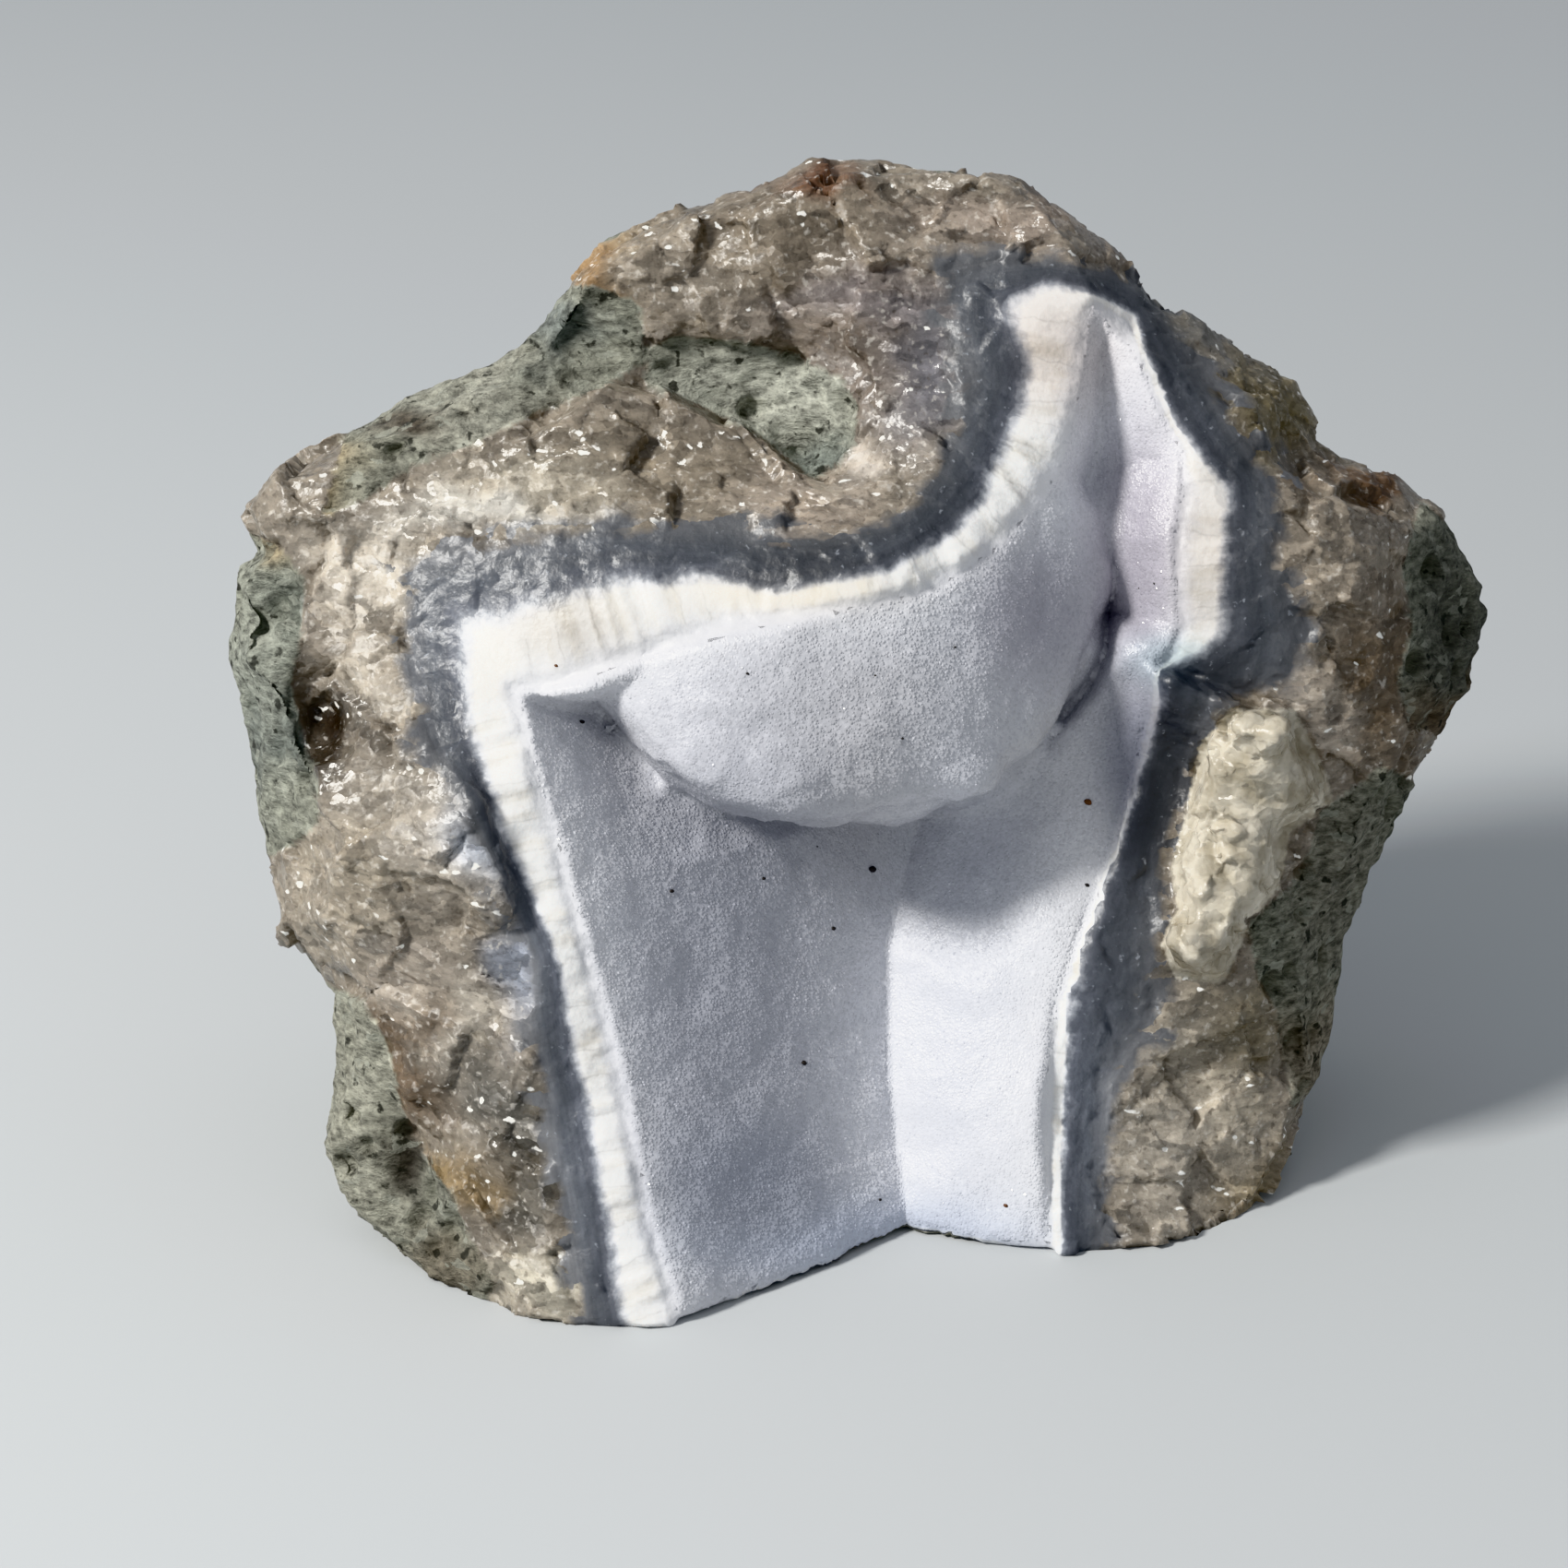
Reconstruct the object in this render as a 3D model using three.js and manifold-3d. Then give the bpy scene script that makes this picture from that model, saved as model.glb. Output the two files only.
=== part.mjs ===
// A broken chunk of geode: banded chalcedony and quartz in a basalt rind, round an open hollow that
// is lined with a sugary crust of tiny quartz crystals. One lobe of the lining hangs in the hollow.
//
// The broken face is described as it is seen from in front and a little above. A face point has
// a, millimetres to the right, b, millimetres up, and w, millimetres of depth away from the eye.
// The left foot of the face is the zero of w. Millimetres throughout, +Z up, the face looks to -Y.

import * as THREE from 'three';
import Module from 'manifold-3d';

// The eye that the face is described from.
const EYE_ELEVATION = 24 * Math.PI / 180;
const EYE_DISTANCE = 400;
const FOOT_BELOW_AXIS = 48;

// The crust of crystals, the gap behind it, and its lift above the table.
const CRUST_THICKNESS = 1.9;
const CRUST_GAP = 0.3;
const CRUST_LIFT = 0.6;

// How the stone rounds over from the face to its outline, and from the outline to its back.
const FLANK_WIDTH = 8;
const FLANK_DEPTH = 17;
const INNER_FLANK_RISE = 2;
const BACK_WIDTH = 40;
const BACK_DEPTH = 38;
const BACK_PLANE = 37;
const OUTSIDE_DROP = 6;

// The lobe that hangs in the hollow, and the small shoulder at its left. Each is a blunt lump given by
// its centre, its half sizes and its turn in the face. Its front leans, and bends away past a line.
const LOBES = [
  { centre: [4.6, 17.9, 14.2], radii: [23, 20.5, 19.5], turn: -0.162, lean: -0.12, bendStart: -8, bendRadius: 37 },
  { centre: [-15.2, 14, 7], radii: [9.8, 6.1, 11.2], turn: 0, lean: 0, bendStart: 0, bendRadius: Infinity },
];
const LOBE_ROUNDNESS = 2.3;
const LOBE_EDGE = 4.5;
const LOBE_BLUNTNESS = 12;
const LOBE_FILLET = 4;

// The grid that the surfaces are first drawn on, and the triangles that are kept of them.
const FACET = 2.3;
const DEEP_FACET = 3.2;
const DEEP_FROM = 30;
const STONE_TRIANGLES = 5600;
const HOLLOW_TRIANGLES = 2500;
const FAR = 150;
const EXTENT = { left: -53, right: 66, bottom: -62, top: 60, front: -17, back: 62 };

// The open space reaches out past the face and down past the table.
const AIR_FRONT = -15;
const AIR_BOTTOM = -58;
const RIM_INSIDE_RISE = 2;
const FACE_FRONT = -11;

// The outline of the stone, clockwise from the lower left, with sides that run below the table.
const OUTLINE = [
  [-22.8, -60], [-26.2, -46], [-30.2, -44.5], [-33, -41.4], [-37.9, -36.8], [-40.2, -32],
  [-39, -24.6], [-39.4, -18.2], [-44.3, -13.4], [-45.3, -5.7], [-46.6, 3.6], [-48.5, 10.5],
  [-48, 18.1], [-46.2, 20.5], [-47.4, 24.5], [-44.3, 27.5], [-38.2, 30.7], [-33.4, 34.1],
  [-25.7, 36.5], [-21.6, 39.7], [-16.7, 46.8], [-14.5, 48.2], [-8.3, 50.4], [-2.6, 51.6],
  [2.7, 54.2], [6, 54.5], [16, 53.4], [20, 53], [23.2, 51.4], [29.1, 46.9], [32.8, 42.6],
  [37.2, 39.8], [40.1, 37.2], [44.8, 35.3], [46.8, 30.4], [48.8, 28.8], [52.8, 27], [57.8, 24],
  [60.6, 18.9], [61.4, 15], [60.4, 8.8], [56.8, 2.9], [53.1, -4.5], [48.9, -13.2],
  [47.9, -22.2], [44.3, -32.4], [41, -37.2], [37.5, -39.5], [36.5, -60],
];

// Depths of the outline's ridge, where the face side turns into the back: a, b, w.
const RIDGE_DEPTHS = [
  [-33, -41, 12], [-40, -28, 14], [-46, 0, 12], [-47, 22, 12], [-30, 35, 12], [-8, 50, 12],
  [14, 54, 13], [35, 41, 17], [48, 29, 20], [61, 15, 24], [50, -10, 26], [44, -32, 25],
  [38, -39, 17], [0, -58, 12],
];

// Depths of the broken face: a, b, w.
const FACE_DEPTHS = [
  [-12, -48, 0], [-23, -47, 2], [-30, -44, 7], [-17, -20, -1.5], [-27, 7, -2.5], [-34, 19, 2],
  [-32, -4, -4], [-40, -2, -1], [-27, -28, 1], [-36, -28, 9], [-22, 22, -1.5], [-12, 20, -3],
  [-20, 10, -2.8], [-14, 12, -3.4], [-5, 15, -4.2], [0, 18, -4.4], [6, 20, -3.6],
  [12, 18, -2.2], [17, 21, 0.4], [21, 24, 3],
  [24, 27, 5], [-14, 33, 3], [-2, 34, 8], [5, 30, 5], [4, 45, 6], [12, 51, 9], [-10, 42, 6],
  [16, 33, 4], [23, 37, 5], [27, 44, 8], [36, 30, 8], [39, 20, 7], [49, 19, 9], [57, 16, 19],
  [50, 8, 12], [35, 9, 10.5], [33, 3, 13.5], [31.5, -5, 14.3], [31, -12, 13.5], [41, -8, 12], [28, -30, 13],
  [22, -42, 11.5], [29, -41, 12.5], [36, -40, 15], [39, -32, 18],
];

// The rim of the hollow, where the crystal lining meets the broken face: a, b, then how steeply the
// wall goes down from there, and how much of that steepness it only gains further in.
const LEFT_RIM = [
  [-8, -62, 0.38, 0], [-8.9, -47.8, 0.38, 0], [-12.1, -38, 0.42, 0], [-14.7, -25, 0.5, 0],
  [-18.9, -9.7, 0.62, 0], [-20.7, -3, 0.9, 0], [-22.5, 4, 1.4, 0], [-23.8, 8.3, 1.9, 0],
];
const LOBE_RIM = [
  [-23.8, 8.3, 1.9, 0], [-20, 9, 2.2, 0], [-13.6, 11.2, 2.8, 0], [-4.9, 14.1, 3, 0],
  [6.5, 15.8, 3, 0], [12.1, 17, 3, 0], [16.2, 19, 3, 0], [19.4, 21.7, 3, 0],
  [21.9, 24.5, 2.8, 0], [23.7, 27.4, 2.6, 0], [25.1, 31, 2.4, 0], [25.9, 36.4, 2.2, 0],
  [26.6, 40.5, 1.8, 0], [27.4, 42.3, 1.4, 0],
];
const RIGHT_RIM = [
  [27.4, 42.3, 1.1, 0], [30.1, 40.5, 1, 0], [31.8, 36.4, 1, 0], [33.4, 32.4, 1, 0],
  [35, 29, 1, 0.1], [35.2, 25.9, 1, 0.2], [34.5, 21.6, 1.2, 0.2], [34.7, 17, 1.4, 0.2],
  [35, 13.8, 1.4, 0.2], [34.2, 11.7, 1.2, 0.3], [32.4, 9.3, 1.1, 0.3], [31.6, 4.9, 1.15, 0.35],
  [29.8, -0.8, 1.15, 0.4], [26.7, -10.9, 0.92, 0.45], [23.9, -19.4, 0.78, 0.42],
  [23.5, -25.1, 0.73, 0.4], [23.3, -31.6, 0.7, 0.4], [23.3, -39.7, 0.65, 0.4], [23.3, -62, 0.65, 0.4],
];
const WALL_BEND_START = 12;
const HOLLOW_FLOOR = 25;
const FLOOR_SOFTNESS = 3;
const RIM_OUTSIDE_RISE = 2;

// Ledges of the broken face: the line, then the step down on the line's left-hand side as it is
// walked, and how far the step reaches before it fades into the face.
const LEDGES = [
  { line: [[-26, 28.5], [-19.7, 32.6], [-16, 35.4], [-10.4, 34.4], [-4.5, 31.3], [1.5, 27], [8, 24.5]],
    drop: 4, reach: 9 },
  { line: [[-26.7, -13.5], [-23.7, -11.5], [-23.8, -8], [-25.9, -2.4], [-29, 3]], drop: -2.2, reach: 9 },
  { line: [[46, 6.6], [41.7, 6.8], [38.9, 7.7], [35.6, 8.9], [31, 11]], drop: -3.5, reach: 5 },
];
const LEDGE_SOFTNESS = 1.2;
const LEDGE_END = 0.2;

// The raised slab of cream quartz on the right: its outline, its height and its edge's width.
const TONGUE = [
  [39.4, 6.6], [36.5, 3.5], [35.1, -3.6], [34, -7], [34.5, -11], [33.1, -14], [34.2, -16.9],
  [38.5, -17.6], [41.1, -12], [43.5, -9.1], [44.5, -4.2], [48.2, -1.5], [47.3, 1.5], [44.8, 6.6],
];
const TONGUE_HEIGHT = 3.6;
const TONGUE_EDGE = 2;

// Round hollows and lumps of the face: a, b, half width, half height, then the depth at the middle.
const DIMPLES = [
  [-40, 6, 3.6, 3.6, 4], [-31.8, -32.5, 3, 5, 4], [47, -10, 5, 10, 4], [45, -24, 2.4, 3.4, 3],
  [-18.5, 39, 2.6, 2, 2], [1.5, 28.5, 3.2, 2.4, 3], [-32.8, -26.6, 2, 2, -2],
  [-22.2, -42.5, 4, 3.2, -1.4], [-20.9, -18.5, 2.8, 6, -1.2], [54, 14, 6, 9, -2],
  [-42, 24, 4, 4, -1.5], [-37, -22, 3, 4, 1.5], [30.5, 11.5, 3.5, 2.2, -1.5],
];

// Lumps and pits of the rough stone: the size of a lump, and how far it stands out.
const FACE_LUMPS = [{ size: 7, height: 0.7 }, { size: 15, height: 0.9 }];
const RIND_LUMPS = [{ size: 6.5, height: 1.3 }, { size: 14, height: 2.4 }, { size: 30, height: 3 }];
const CRUST_LUMPS = [{ size: 4.5, height: 0.3 }, { size: 10, height: 0.6 }];
const LUMPS_START = 9;
const RIND_SINK = 1.2;

// The numbers that scramble a lattice corner's place into its random number.
const SCRAMBLE = { i: 127.1, j: 311.7, k: 74.7, scale: 43758.5453 };

// A field value that is hardly more than the surface's own, which is zero.
const BARELY = 1e-3;

// How vertices are merged: short edges go first, few at a time, and no triangle turns over.
const SHORT_EDGE_BIAS = 0.02;
const MERGES_PER_PASS = 0.25;
const LEAST_ALIKE = 0.5;
const TINY = 1e-3;

const fract = (x) => x - Math.floor(x);
const clamp = (x, low, high) => Math.min(Math.max(x, low), high);
const smoothstep = (low, high, x) => {
  const t = clamp((x - low) / (high - low), 0, 1);
  return t * t * (3 - 2 * t);
};
const mix = (x, y, t) => x + (y - x) * t;

// The smaller of two values, rounded off where they are nearly alike.
const softMin = (x, y, softness) => {
  const blend = Math.max(softness - Math.abs(x - y), 0) / softness;
  return Math.min(x, y) - blend * blend * softness / 4;
};

// A repeatable random number from 0 to 1 for each corner of a unit lattice.
function hash(i, j, k) {
  return fract(Math.sin(i * SCRAMBLE.i + j * SCRAMBLE.j + k * SCRAMBLE.k) * SCRAMBLE.scale);
}

// Smooth noise from -1 to 1 with lumps about one unit across.
function noise(x, y, z) {
  const cell = [Math.floor(x), Math.floor(y), Math.floor(z)];
  const [tx, ty, tz] = [x, y, z].map((value, n) => smoothstep(0, 1, value - cell[n]));
  const corner = (i, j, k) => hash(cell[0] + i, cell[1] + j, cell[2] + k);
  const row = (j, k) => mix(corner(0, j, k), corner(1, j, k), tx);
  return 2 * mix(mix(row(0, 0), row(1, 0), ty), mix(row(0, 1), row(1, 1), ty), tz) - 1;
}

// The sum of lumps of several sizes at a point of the stone.
function lumps(layers, a, b, w) {
  return layers.reduce((sum, { size, height }) => sum + height * noise(a / size, b / size, w / size), 0);
}

// A smooth sheet through scattered depths, as a thin steel plate held at those points would bend.
class Sheet {
  constructor(depths) {
    this.anchors = depths;
    const rows = depths.map(([a, b, depth]) => [...this.terms(a, b), depth]);
    [0, 1, 2].forEach((n) => rows.push([...depths.map(([a, b]) => [1, a, b][n]), 0, 0, 0, 0]));
    this.weights = solve(rows);
  }

  terms(a, b) {
    const bends = this.anchors.map(([pa, pb]) => {
      const square = (a - pa) ** 2 + (b - pb) ** 2;
      return square > 0 ? square * Math.log(square) : 0;
    });
    return [...bends, 1, a, b];
  }

  depth(a, b) {
    return this.terms(a, b).reduce((sum, term, n) => sum + term * this.weights[n], 0);
  }
}

// Solves linear equations whose right-hand side is each row's last number.
function solve(rows) {
  rows.forEach((_, column) => {
    const below = rows.slice(column);
    const pivot = column + below.reduce((best, row, n) => (
      Math.abs(row[column]) > Math.abs(below[best][column]) ? n : best), 0);
    [rows[column], rows[pivot]] = [rows[pivot], rows[column]];
    rows.forEach((row, n) => {
      const share = n === column ? 0 : row[column] / rows[column][column];
      rows[n] = row.map((value, m) => value - share * rows[column][m]);
    });
  });
  return rows.map((row, n) => row.at(-1) / row[n]);
}

// The nearest point of a segment: its distance, its place along the segment, and the point's side.
function toSegment(a, b, [a0, b0], [a1, b1]) {
  const along = [a1 - a0, b1 - b0];
  const t = clamp(((a - a0) * along[0] + (b - b0) * along[1]) / (along[0] ** 2 + along[1] ** 2), 0, 1);
  const away = [a - a0 - t * along[0], b - b0 - t * along[1]];
  return { distance: Math.hypot(...away), t, left: along[0] * away[1] - along[1] * away[0] > 0 };
}

// The nearest point of a line of segments, with the segment's number.
function toLine(line, a, b) {
  let nearest = { distance: Infinity };
  for (let n = 0; n + 1 < line.length; n += 1) {
    const place = toSegment(a, b, line[n], line[n + 1]);
    if (place.distance < nearest.distance) {
      nearest = { ...place, n };
    }
  }
  return nearest;
}

// Distance to a closed outline, positive inside it.
function insideDistance(outline, a, b) {
  let nearest = Infinity;
  let inside = false;
  outline.forEach((start, n) => {
    const end = outline[(n + 1) % outline.length];
    nearest = Math.min(nearest, toSegment(a, b, start, end).distance);
    const crosses = (start[1] > b) !== (end[1] > b);
    if (crosses && a < start[0] + (b - start[1]) * (end[0] - start[0]) / (end[1] - start[1])) {
      inside = !inside;
    }
  });
  return inside ? nearest : -nearest;
}

// The step that a ledge adds to the face: down on one side of its line, fading out at its ends.
function ledgeDepth({ line, drop, reach }, a, b) {
  const { distance, left, n, t } = toLine(line, a, b);
  const side = left ? distance : -distance;
  const along = (n + t) / (line.length - 1);
  const ends = smoothstep(0, LEDGE_END, along) * smoothstep(0, LEDGE_END, 1 - along);
  const fade = Math.exp(-((distance / reach) ** 2));
  return drop * smoothstep(-LEDGE_SOFTNESS, LEDGE_SOFTNESS, side) * ends * fade;
}

const faceSheet = new Sheet(FACE_DEPTHS);
const ridgeSheet = new Sheet(RIDGE_DEPTHS);

// Depth of the broken face, without the hollow.
function faceDepth(a, b) {
  let depth = faceSheet.depth(a, b);
  LEDGES.forEach((ledge) => { depth += ledgeDepth(ledge, a, b); });
  DIMPLES.forEach(([da, db, wide, high, deep]) => {
    depth += deep * Math.exp(-(((a - da) / wide) ** 2) - ((b - db) / high) ** 2);
  });
  return depth - TONGUE_HEIGHT * smoothstep(0, TONGUE_EDGE, insideDistance(TONGUE, a, b));
}

// Depth that a wall of the hollow has below the face, from the distance to its rim.
function wallDepth(rim, a, b) {
  const { distance, n, t } = toLine(rim, a, b);
  const slope = mix(rim[n][2], rim[n + 1][2], t);
  const bend = mix(rim[n][3], rim[n + 1][3], t);
  return slope * distance * (distance / WALL_BEND_START) ** bend;
}

// Depth of the hollow's wall behind the lobe, and in front of the face outside the rim.
const WALLS = [LEFT_RIM, LOBE_RIM, RIGHT_RIM];
const RIM = [...LEFT_RIM, ...LOBE_RIM.slice(1), ...RIGHT_RIM.slice(1)];
function hollowDepth(a, b, face, inRim) {
  if (inRim < 0) {
    return face + RIM_OUTSIDE_RISE * inRim;
  }
  const depth = face + Math.min(...WALLS.map((rim) => wallDepth(rim, a, b)));
  return depth - FLOOR_SOFTNESS * Math.log1p(Math.exp((depth - HOLLOW_FLOOR) / FLOOR_SOFTNESS));
}

// How far a point lies inside one of the lobes.
function lobeInside({ centre, radii, turn, lean, bendStart, bendRadius }, a, b, w) {
  const past = a - bendStart;
  const bend = lean * past + Math.max(past, 0) ** 2 / (2 * bendRadius);
  const [sine, cosine] = [Math.sin(turn), Math.cos(turn)];
  const [fromA, fromB] = [a - centre[0], b - centre[1]];
  const acrossA = Math.abs((fromA * cosine + fromB * sine) / radii[0]) ** LOBE_ROUNDNESS;
  const acrossB = Math.abs((fromB * cosine - fromA * sine) / radii[1]) ** LOBE_ROUNDNESS;
  const across = (acrossA + acrossB) ** (1 / LOBE_ROUNDNESS);
  const along = Math.abs(w - bend - centre[2]) / radii[2];
  const scaled = (across ** LOBE_EDGE + along ** LOBE_BLUNTNESS) ** (1 / LOBE_BLUNTNESS);
  return (1 - scaled) * (radii[0] + radii[1]) / 2;
}

// A quarter of an ellipse, from 0 at the outline to 1 at full width, and a steep drop outside it.
function roundOver(inside, width) {
  const t = clamp(inside / width, 0, 1);
  return inside < 0 ? OUTSIDE_DROP * inside / width : Math.sqrt(1 - (1 - t) ** 2);
}

// Everything about a face point that does not change with depth.
function column(a, b) {
  const face = faceDepth(a, b);
  const inRim = insideDistance(RIM, a, b);
  return {
    a,
    b,
    face: Math.max(face - RIM_INSIDE_RISE * Math.max(inRim, 0), FACE_FRONT),
    hollow: hollowDepth(a, b, face, inRim),
    inside: insideDistance(OUTLINE, a, b),
    ridge: ridgeSheet.depth(a, b),
  };
}

// Positive inside the solid stone, as if it had no hollow.
function stoneField({ a, b, face, inside, ridge }, w) {
  const away = smoothstep(0, LUMPS_START, Math.abs(w - ridge));
  const edge = inside + away * Math.min(lumps(RIND_LUMPS, a, b, w) - RIND_SINK, 0);
  const front = ridge - FLANK_DEPTH * roundOver(edge, FLANK_WIDTH)
    - INNER_FLANK_RISE * Math.max(edge - FLANK_WIDTH, 0);
  const back = ridge + BACK_DEPTH * roundOver(edge, BACK_WIDTH);
  const broken = face + lumps(FACE_LUMPS, a, b, w);
  const behind = BACK_PLANE - toRow(a, b, w)[1] + lumps(RIND_LUMPS, b, w, a);
  return Math.min(w - Math.max(front, broken), back - w, behind);
}

// Positive in the open space of the hollow, round the lobe and out past the face.
function airField({ a, b, hollow }, w) {
  const open = hollow + lumps(CRUST_LUMPS, a, b, w) - w;
  const inLobes = Math.max(...LOBES.map((lobe) => lobeInside(lobe, a, b, w)));
  const roundLobe = -inLobes + lumps(CRUST_LUMPS, b, a, w);
  return Math.min(softMin(open, roundLobe, LOBE_FILLET), w - AIR_FRONT, b - AIR_BOTTOM);
}

// Turns a face point into the part's own frame, with the left foot on the table.
function toRow(a, b, w) {
  const spread = 1 + w / EYE_DISTANCE;
  const [sine, cosine] = [Math.sin(EYE_ELEVATION), Math.cos(EYE_ELEVATION)];
  return [a * spread, w * cosine + b * spread * sine,
    (b * spread + FOOT_BELOW_AXIS) * cosine - w * sine];
}

// Grid lines from low to high, each step given by a function of where it starts.
function gridLines(low, high, stepAt) {
  const lines = [low];
  while (lines.at(-1) < high) {
    lines.push(lines.at(-1) + stepAt(lines.at(-1)));
  }
  return lines;
}

// A block of grid points over the stone, and the faceted surfaces that pass between them.
class FacetGrid {
  constructor(facet, deepFacet) {
    this.facet = facet;
    this.axes = [
      gridLines(EXTENT.left, EXTENT.right, () => facet),
      gridLines(EXTENT.bottom, EXTENT.top, () => facet),
      gridLines(EXTENT.front, EXTENT.back, (w) => (w < DEEP_FROM ? facet : deepFacet)),
    ];
    this.counts = this.axes.map((lines) => lines.length);
    this.strides = [1, this.counts[0], this.counts[0] * this.counts[1]];
    this.columns = this.axes[1].flatMap((b) => this.axes[0].map((a) => column(a, b)));
  }

  index(i, j, k) {
    return i + j * this.strides[1] + k * this.strides[2];
  }

  // Calls a function for each place where a block of the given size fits into the grid.
  forBlocks(size, visit) {
    for (let k = 0; k + size[2] < this.counts[2]; k += 1) {
      for (let j = 0; j + size[1] < this.counts[1]; j += 1) {
        for (let i = 0; i + size[0] < this.counts[0]; i += 1) {
          visit(i, j, k);
        }
      }
    }
  }

  cubeCorners(i, j, k) {
    const base = this.index(i, j, k);
    return [0, 1, 2, 3, 4, 5, 6, 7].map((n) => base + (n & 1) * this.strides[0]
      + ((n >> 1) & 1) * this.strides[1] + ((n >> 2) & 1) * this.strides[2]);
  }

  // A field's values at all grid points, with nothing solid on the block's own border.
  sample(field) {
    const values = new Float64Array(this.counts[0] * this.counts[1] * this.counts[2]);
    const limit = 2 * this.facet;
    this.forBlocks([0, 0, 0], (i, j, k) => {
      const onBorder = [i, j, k].some((n, axis) => n === 0 || n === this.counts[axis] - 1);
      const value = onBorder ? -limit : field(this.columns[i + j * this.counts[0]], this.axes[2][k]);
      values[this.index(i, j, k)] = clamp(value, -limit, limit) || BARELY;
    });
    return values;
  }

  // Changes single grid values until no two parts of the solid touch along only an edge or at a
  // point, so that the surface is a clean one. The smallest value gives way.
  mend(values) {
    const flipSmallest = (corners) => {
      const weakest = corners.reduce((x, y) => (Math.abs(values[y]) < Math.abs(values[x]) ? y : x));
      values[weakest] = values[weakest] > 0 ? -BARELY : BARELY;
    };
    let changed = true;
    const mendSquares = (p, q) => {
      const size = [0, 1, 2].map((axis) => (axis === p || axis === q ? 1 : 0));
      const [stepP, stepQ] = [this.strides[p], this.strides[q]];
      this.forBlocks(size, (i, j, k) => {
        const base = this.index(i, j, k);
        const corners = [base, base + stepP, base + stepP + stepQ, base + stepQ];
        const solid = corners.map((corner) => values[corner] > 0);
        if (solid[0] === solid[2] && solid[1] === solid[3] && solid[0] !== solid[1]) {
          flipSmallest(corners);
          changed = true;
        }
      });
    };
    const mendCubes = () => this.forBlocks([1, 1, 1], (i, j, k) => {
      const corners = this.cubeCorners(i, j, k);
      const solid = corners.filter((corner) => values[corner] > 0);
      const few = solid.length === 2 ? solid : corners.filter((corner) => values[corner] <= 0);
      if (few.length === 2 && corners.indexOf(few[0]) + corners.indexOf(few[1]) === 7) {
        flipSmallest(few);
        changed = true;
      }
    });
    while (changed) {
      changed = false;
      mendSquares(0, 1);
      mendSquares(0, 2);
      mendSquares(1, 2);
      mendCubes();
    }
  }

  // The faceted surface round the positive part of a field: one vertex in each cell that it passes
  // through, and one four-sided face for each grid edge that it crosses.
  surface(field) {
    const values = this.sample(field);
    this.mend(values);
    const vertexAt = new Map();
    const points = [];
    this.forBlocks([1, 1, 1], (i, j, k) => {
      const middle = this.cellMiddle(values, [i, j, k]);
      if (middle) {
        vertexAt.set(this.index(i, j, k), points.length);
        points.push(new THREE.Vector3(...toRow(...middle)));
      }
    });
    const triangles = [];
    this.forBlocks([0, 0, 0], (i, j, k) => {
      const here = this.index(i, j, k);
      [0, 1, 2].forEach((axis) => {
        const atEnd = [i, j, k][axis] === this.counts[axis] - 1;
        if (atEnd || (values[here] > 0) === (values[here + this.strides[axis]] > 0)) {
          return;
        }
        const [stepP, stepQ] = [this.strides[(axis + 1) % 3], this.strides[(axis + 2) % 3]];
        const ring = [here - stepP - stepQ, here - stepQ, here, here - stepP]
          .map((cell) => vertexAt.get(cell));
        triangles.push(...splitQuad(points, values[here] > 0 ? ring.reverse() : ring));
      });
    });
    return { points, triangles };
  }

  // The middle of the places where the surface crosses a cell's edges, or null.
  cellMiddle(values, cell) {
    const corners = this.cubeCorners(...cell);
    const sum = [0, 0, 0];
    let count = 0;
    corners.forEach((corner, n) => {
      [0, 1, 2].forEach((axis) => {
        const far = n | (1 << axis);
        if (far === n || (values[corner] > 0) === (values[corners[far]] > 0)) {
          return;
        }
        const t = values[corner] / (values[corner] - values[corners[far]]);
        cell.forEach((low, d) => {
          const place = d === axis ? t : (n >> d) & 1;
          sum[d] += mix(this.axes[d][low], this.axes[d][low + 1], place);
        });
        count += 1;
      });
    });
    return count ? sum.map((total) => total / count) : null;
  }
}

// Cuts a four-sided face along its shorter diagonal.
function splitQuad(points, [p, q, r, s]) {
  const straight = points[p].distanceTo(points[r]) < points[q].distanceTo(points[s]);
  return straight ? [p, q, r, p, r, s] : [p, q, s, q, r, s];
}

// Twice the area of a triangle, as a vector that points to its outer side.
function areaNormal(p, q, r) {
  return new THREE.Vector3().subVectors(q, p).cross(new THREE.Vector3().subVectors(r, p));
}

// The sums that give how far a point is from a set of planes, squared and weighted by area.
function planeSums(faces, points) {
  const sums = points.map(() => new Float64Array(10));
  faces.forEach((face) => {
    const normal = areaNormal(...face.map((vertex) => points[vertex]));
    const area = normal.length();
    normal.normalize();
    const plane = [...normal.toArray(), -normal.dot(points[face[0]])];
    face.forEach((vertex) => {
      let n = 0;
      for (let i = 0; i < 4; i += 1) {
        for (let j = i; j < 4; j += 1) {
          sums[vertex][n] += area * plane[i] * plane[j] * (i === j ? 1 : 2);
          n += 1;
        }
      }
    });
  });
  return sums;
}

function planeError(sum, { x, y, z }) {
  const point = [x, y, z, 1];
  let error = 0;
  let n = 0;
  for (let i = 0; i < 4; i += 1) {
    for (let j = i; j < 4; j += 1) {
      error += sum[n] * point[i] * point[j];
      n += 1;
    }
  }
  return error;
}

// The best place to merge an edge's two ends at, and what that costs the shape.
function bestMerge(u, v, points, sums) {
  const sum = sums[u].map((value, n) => value + sums[v][n]);
  const middle = new THREE.Vector3().addVectors(points[u], points[v]).multiplyScalar(0.5);
  const places = [middle, points[u], points[v]];
  const costs = places.map((place) => planeError(sum, place));
  const cost = Math.min(...costs);
  const length = points[u].distanceToSquared(points[v]);
  return { u, v, sum, place: places[costs.indexOf(cost)].clone(), cost: cost + SHORT_EDGE_BIAS * length };
}

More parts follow.
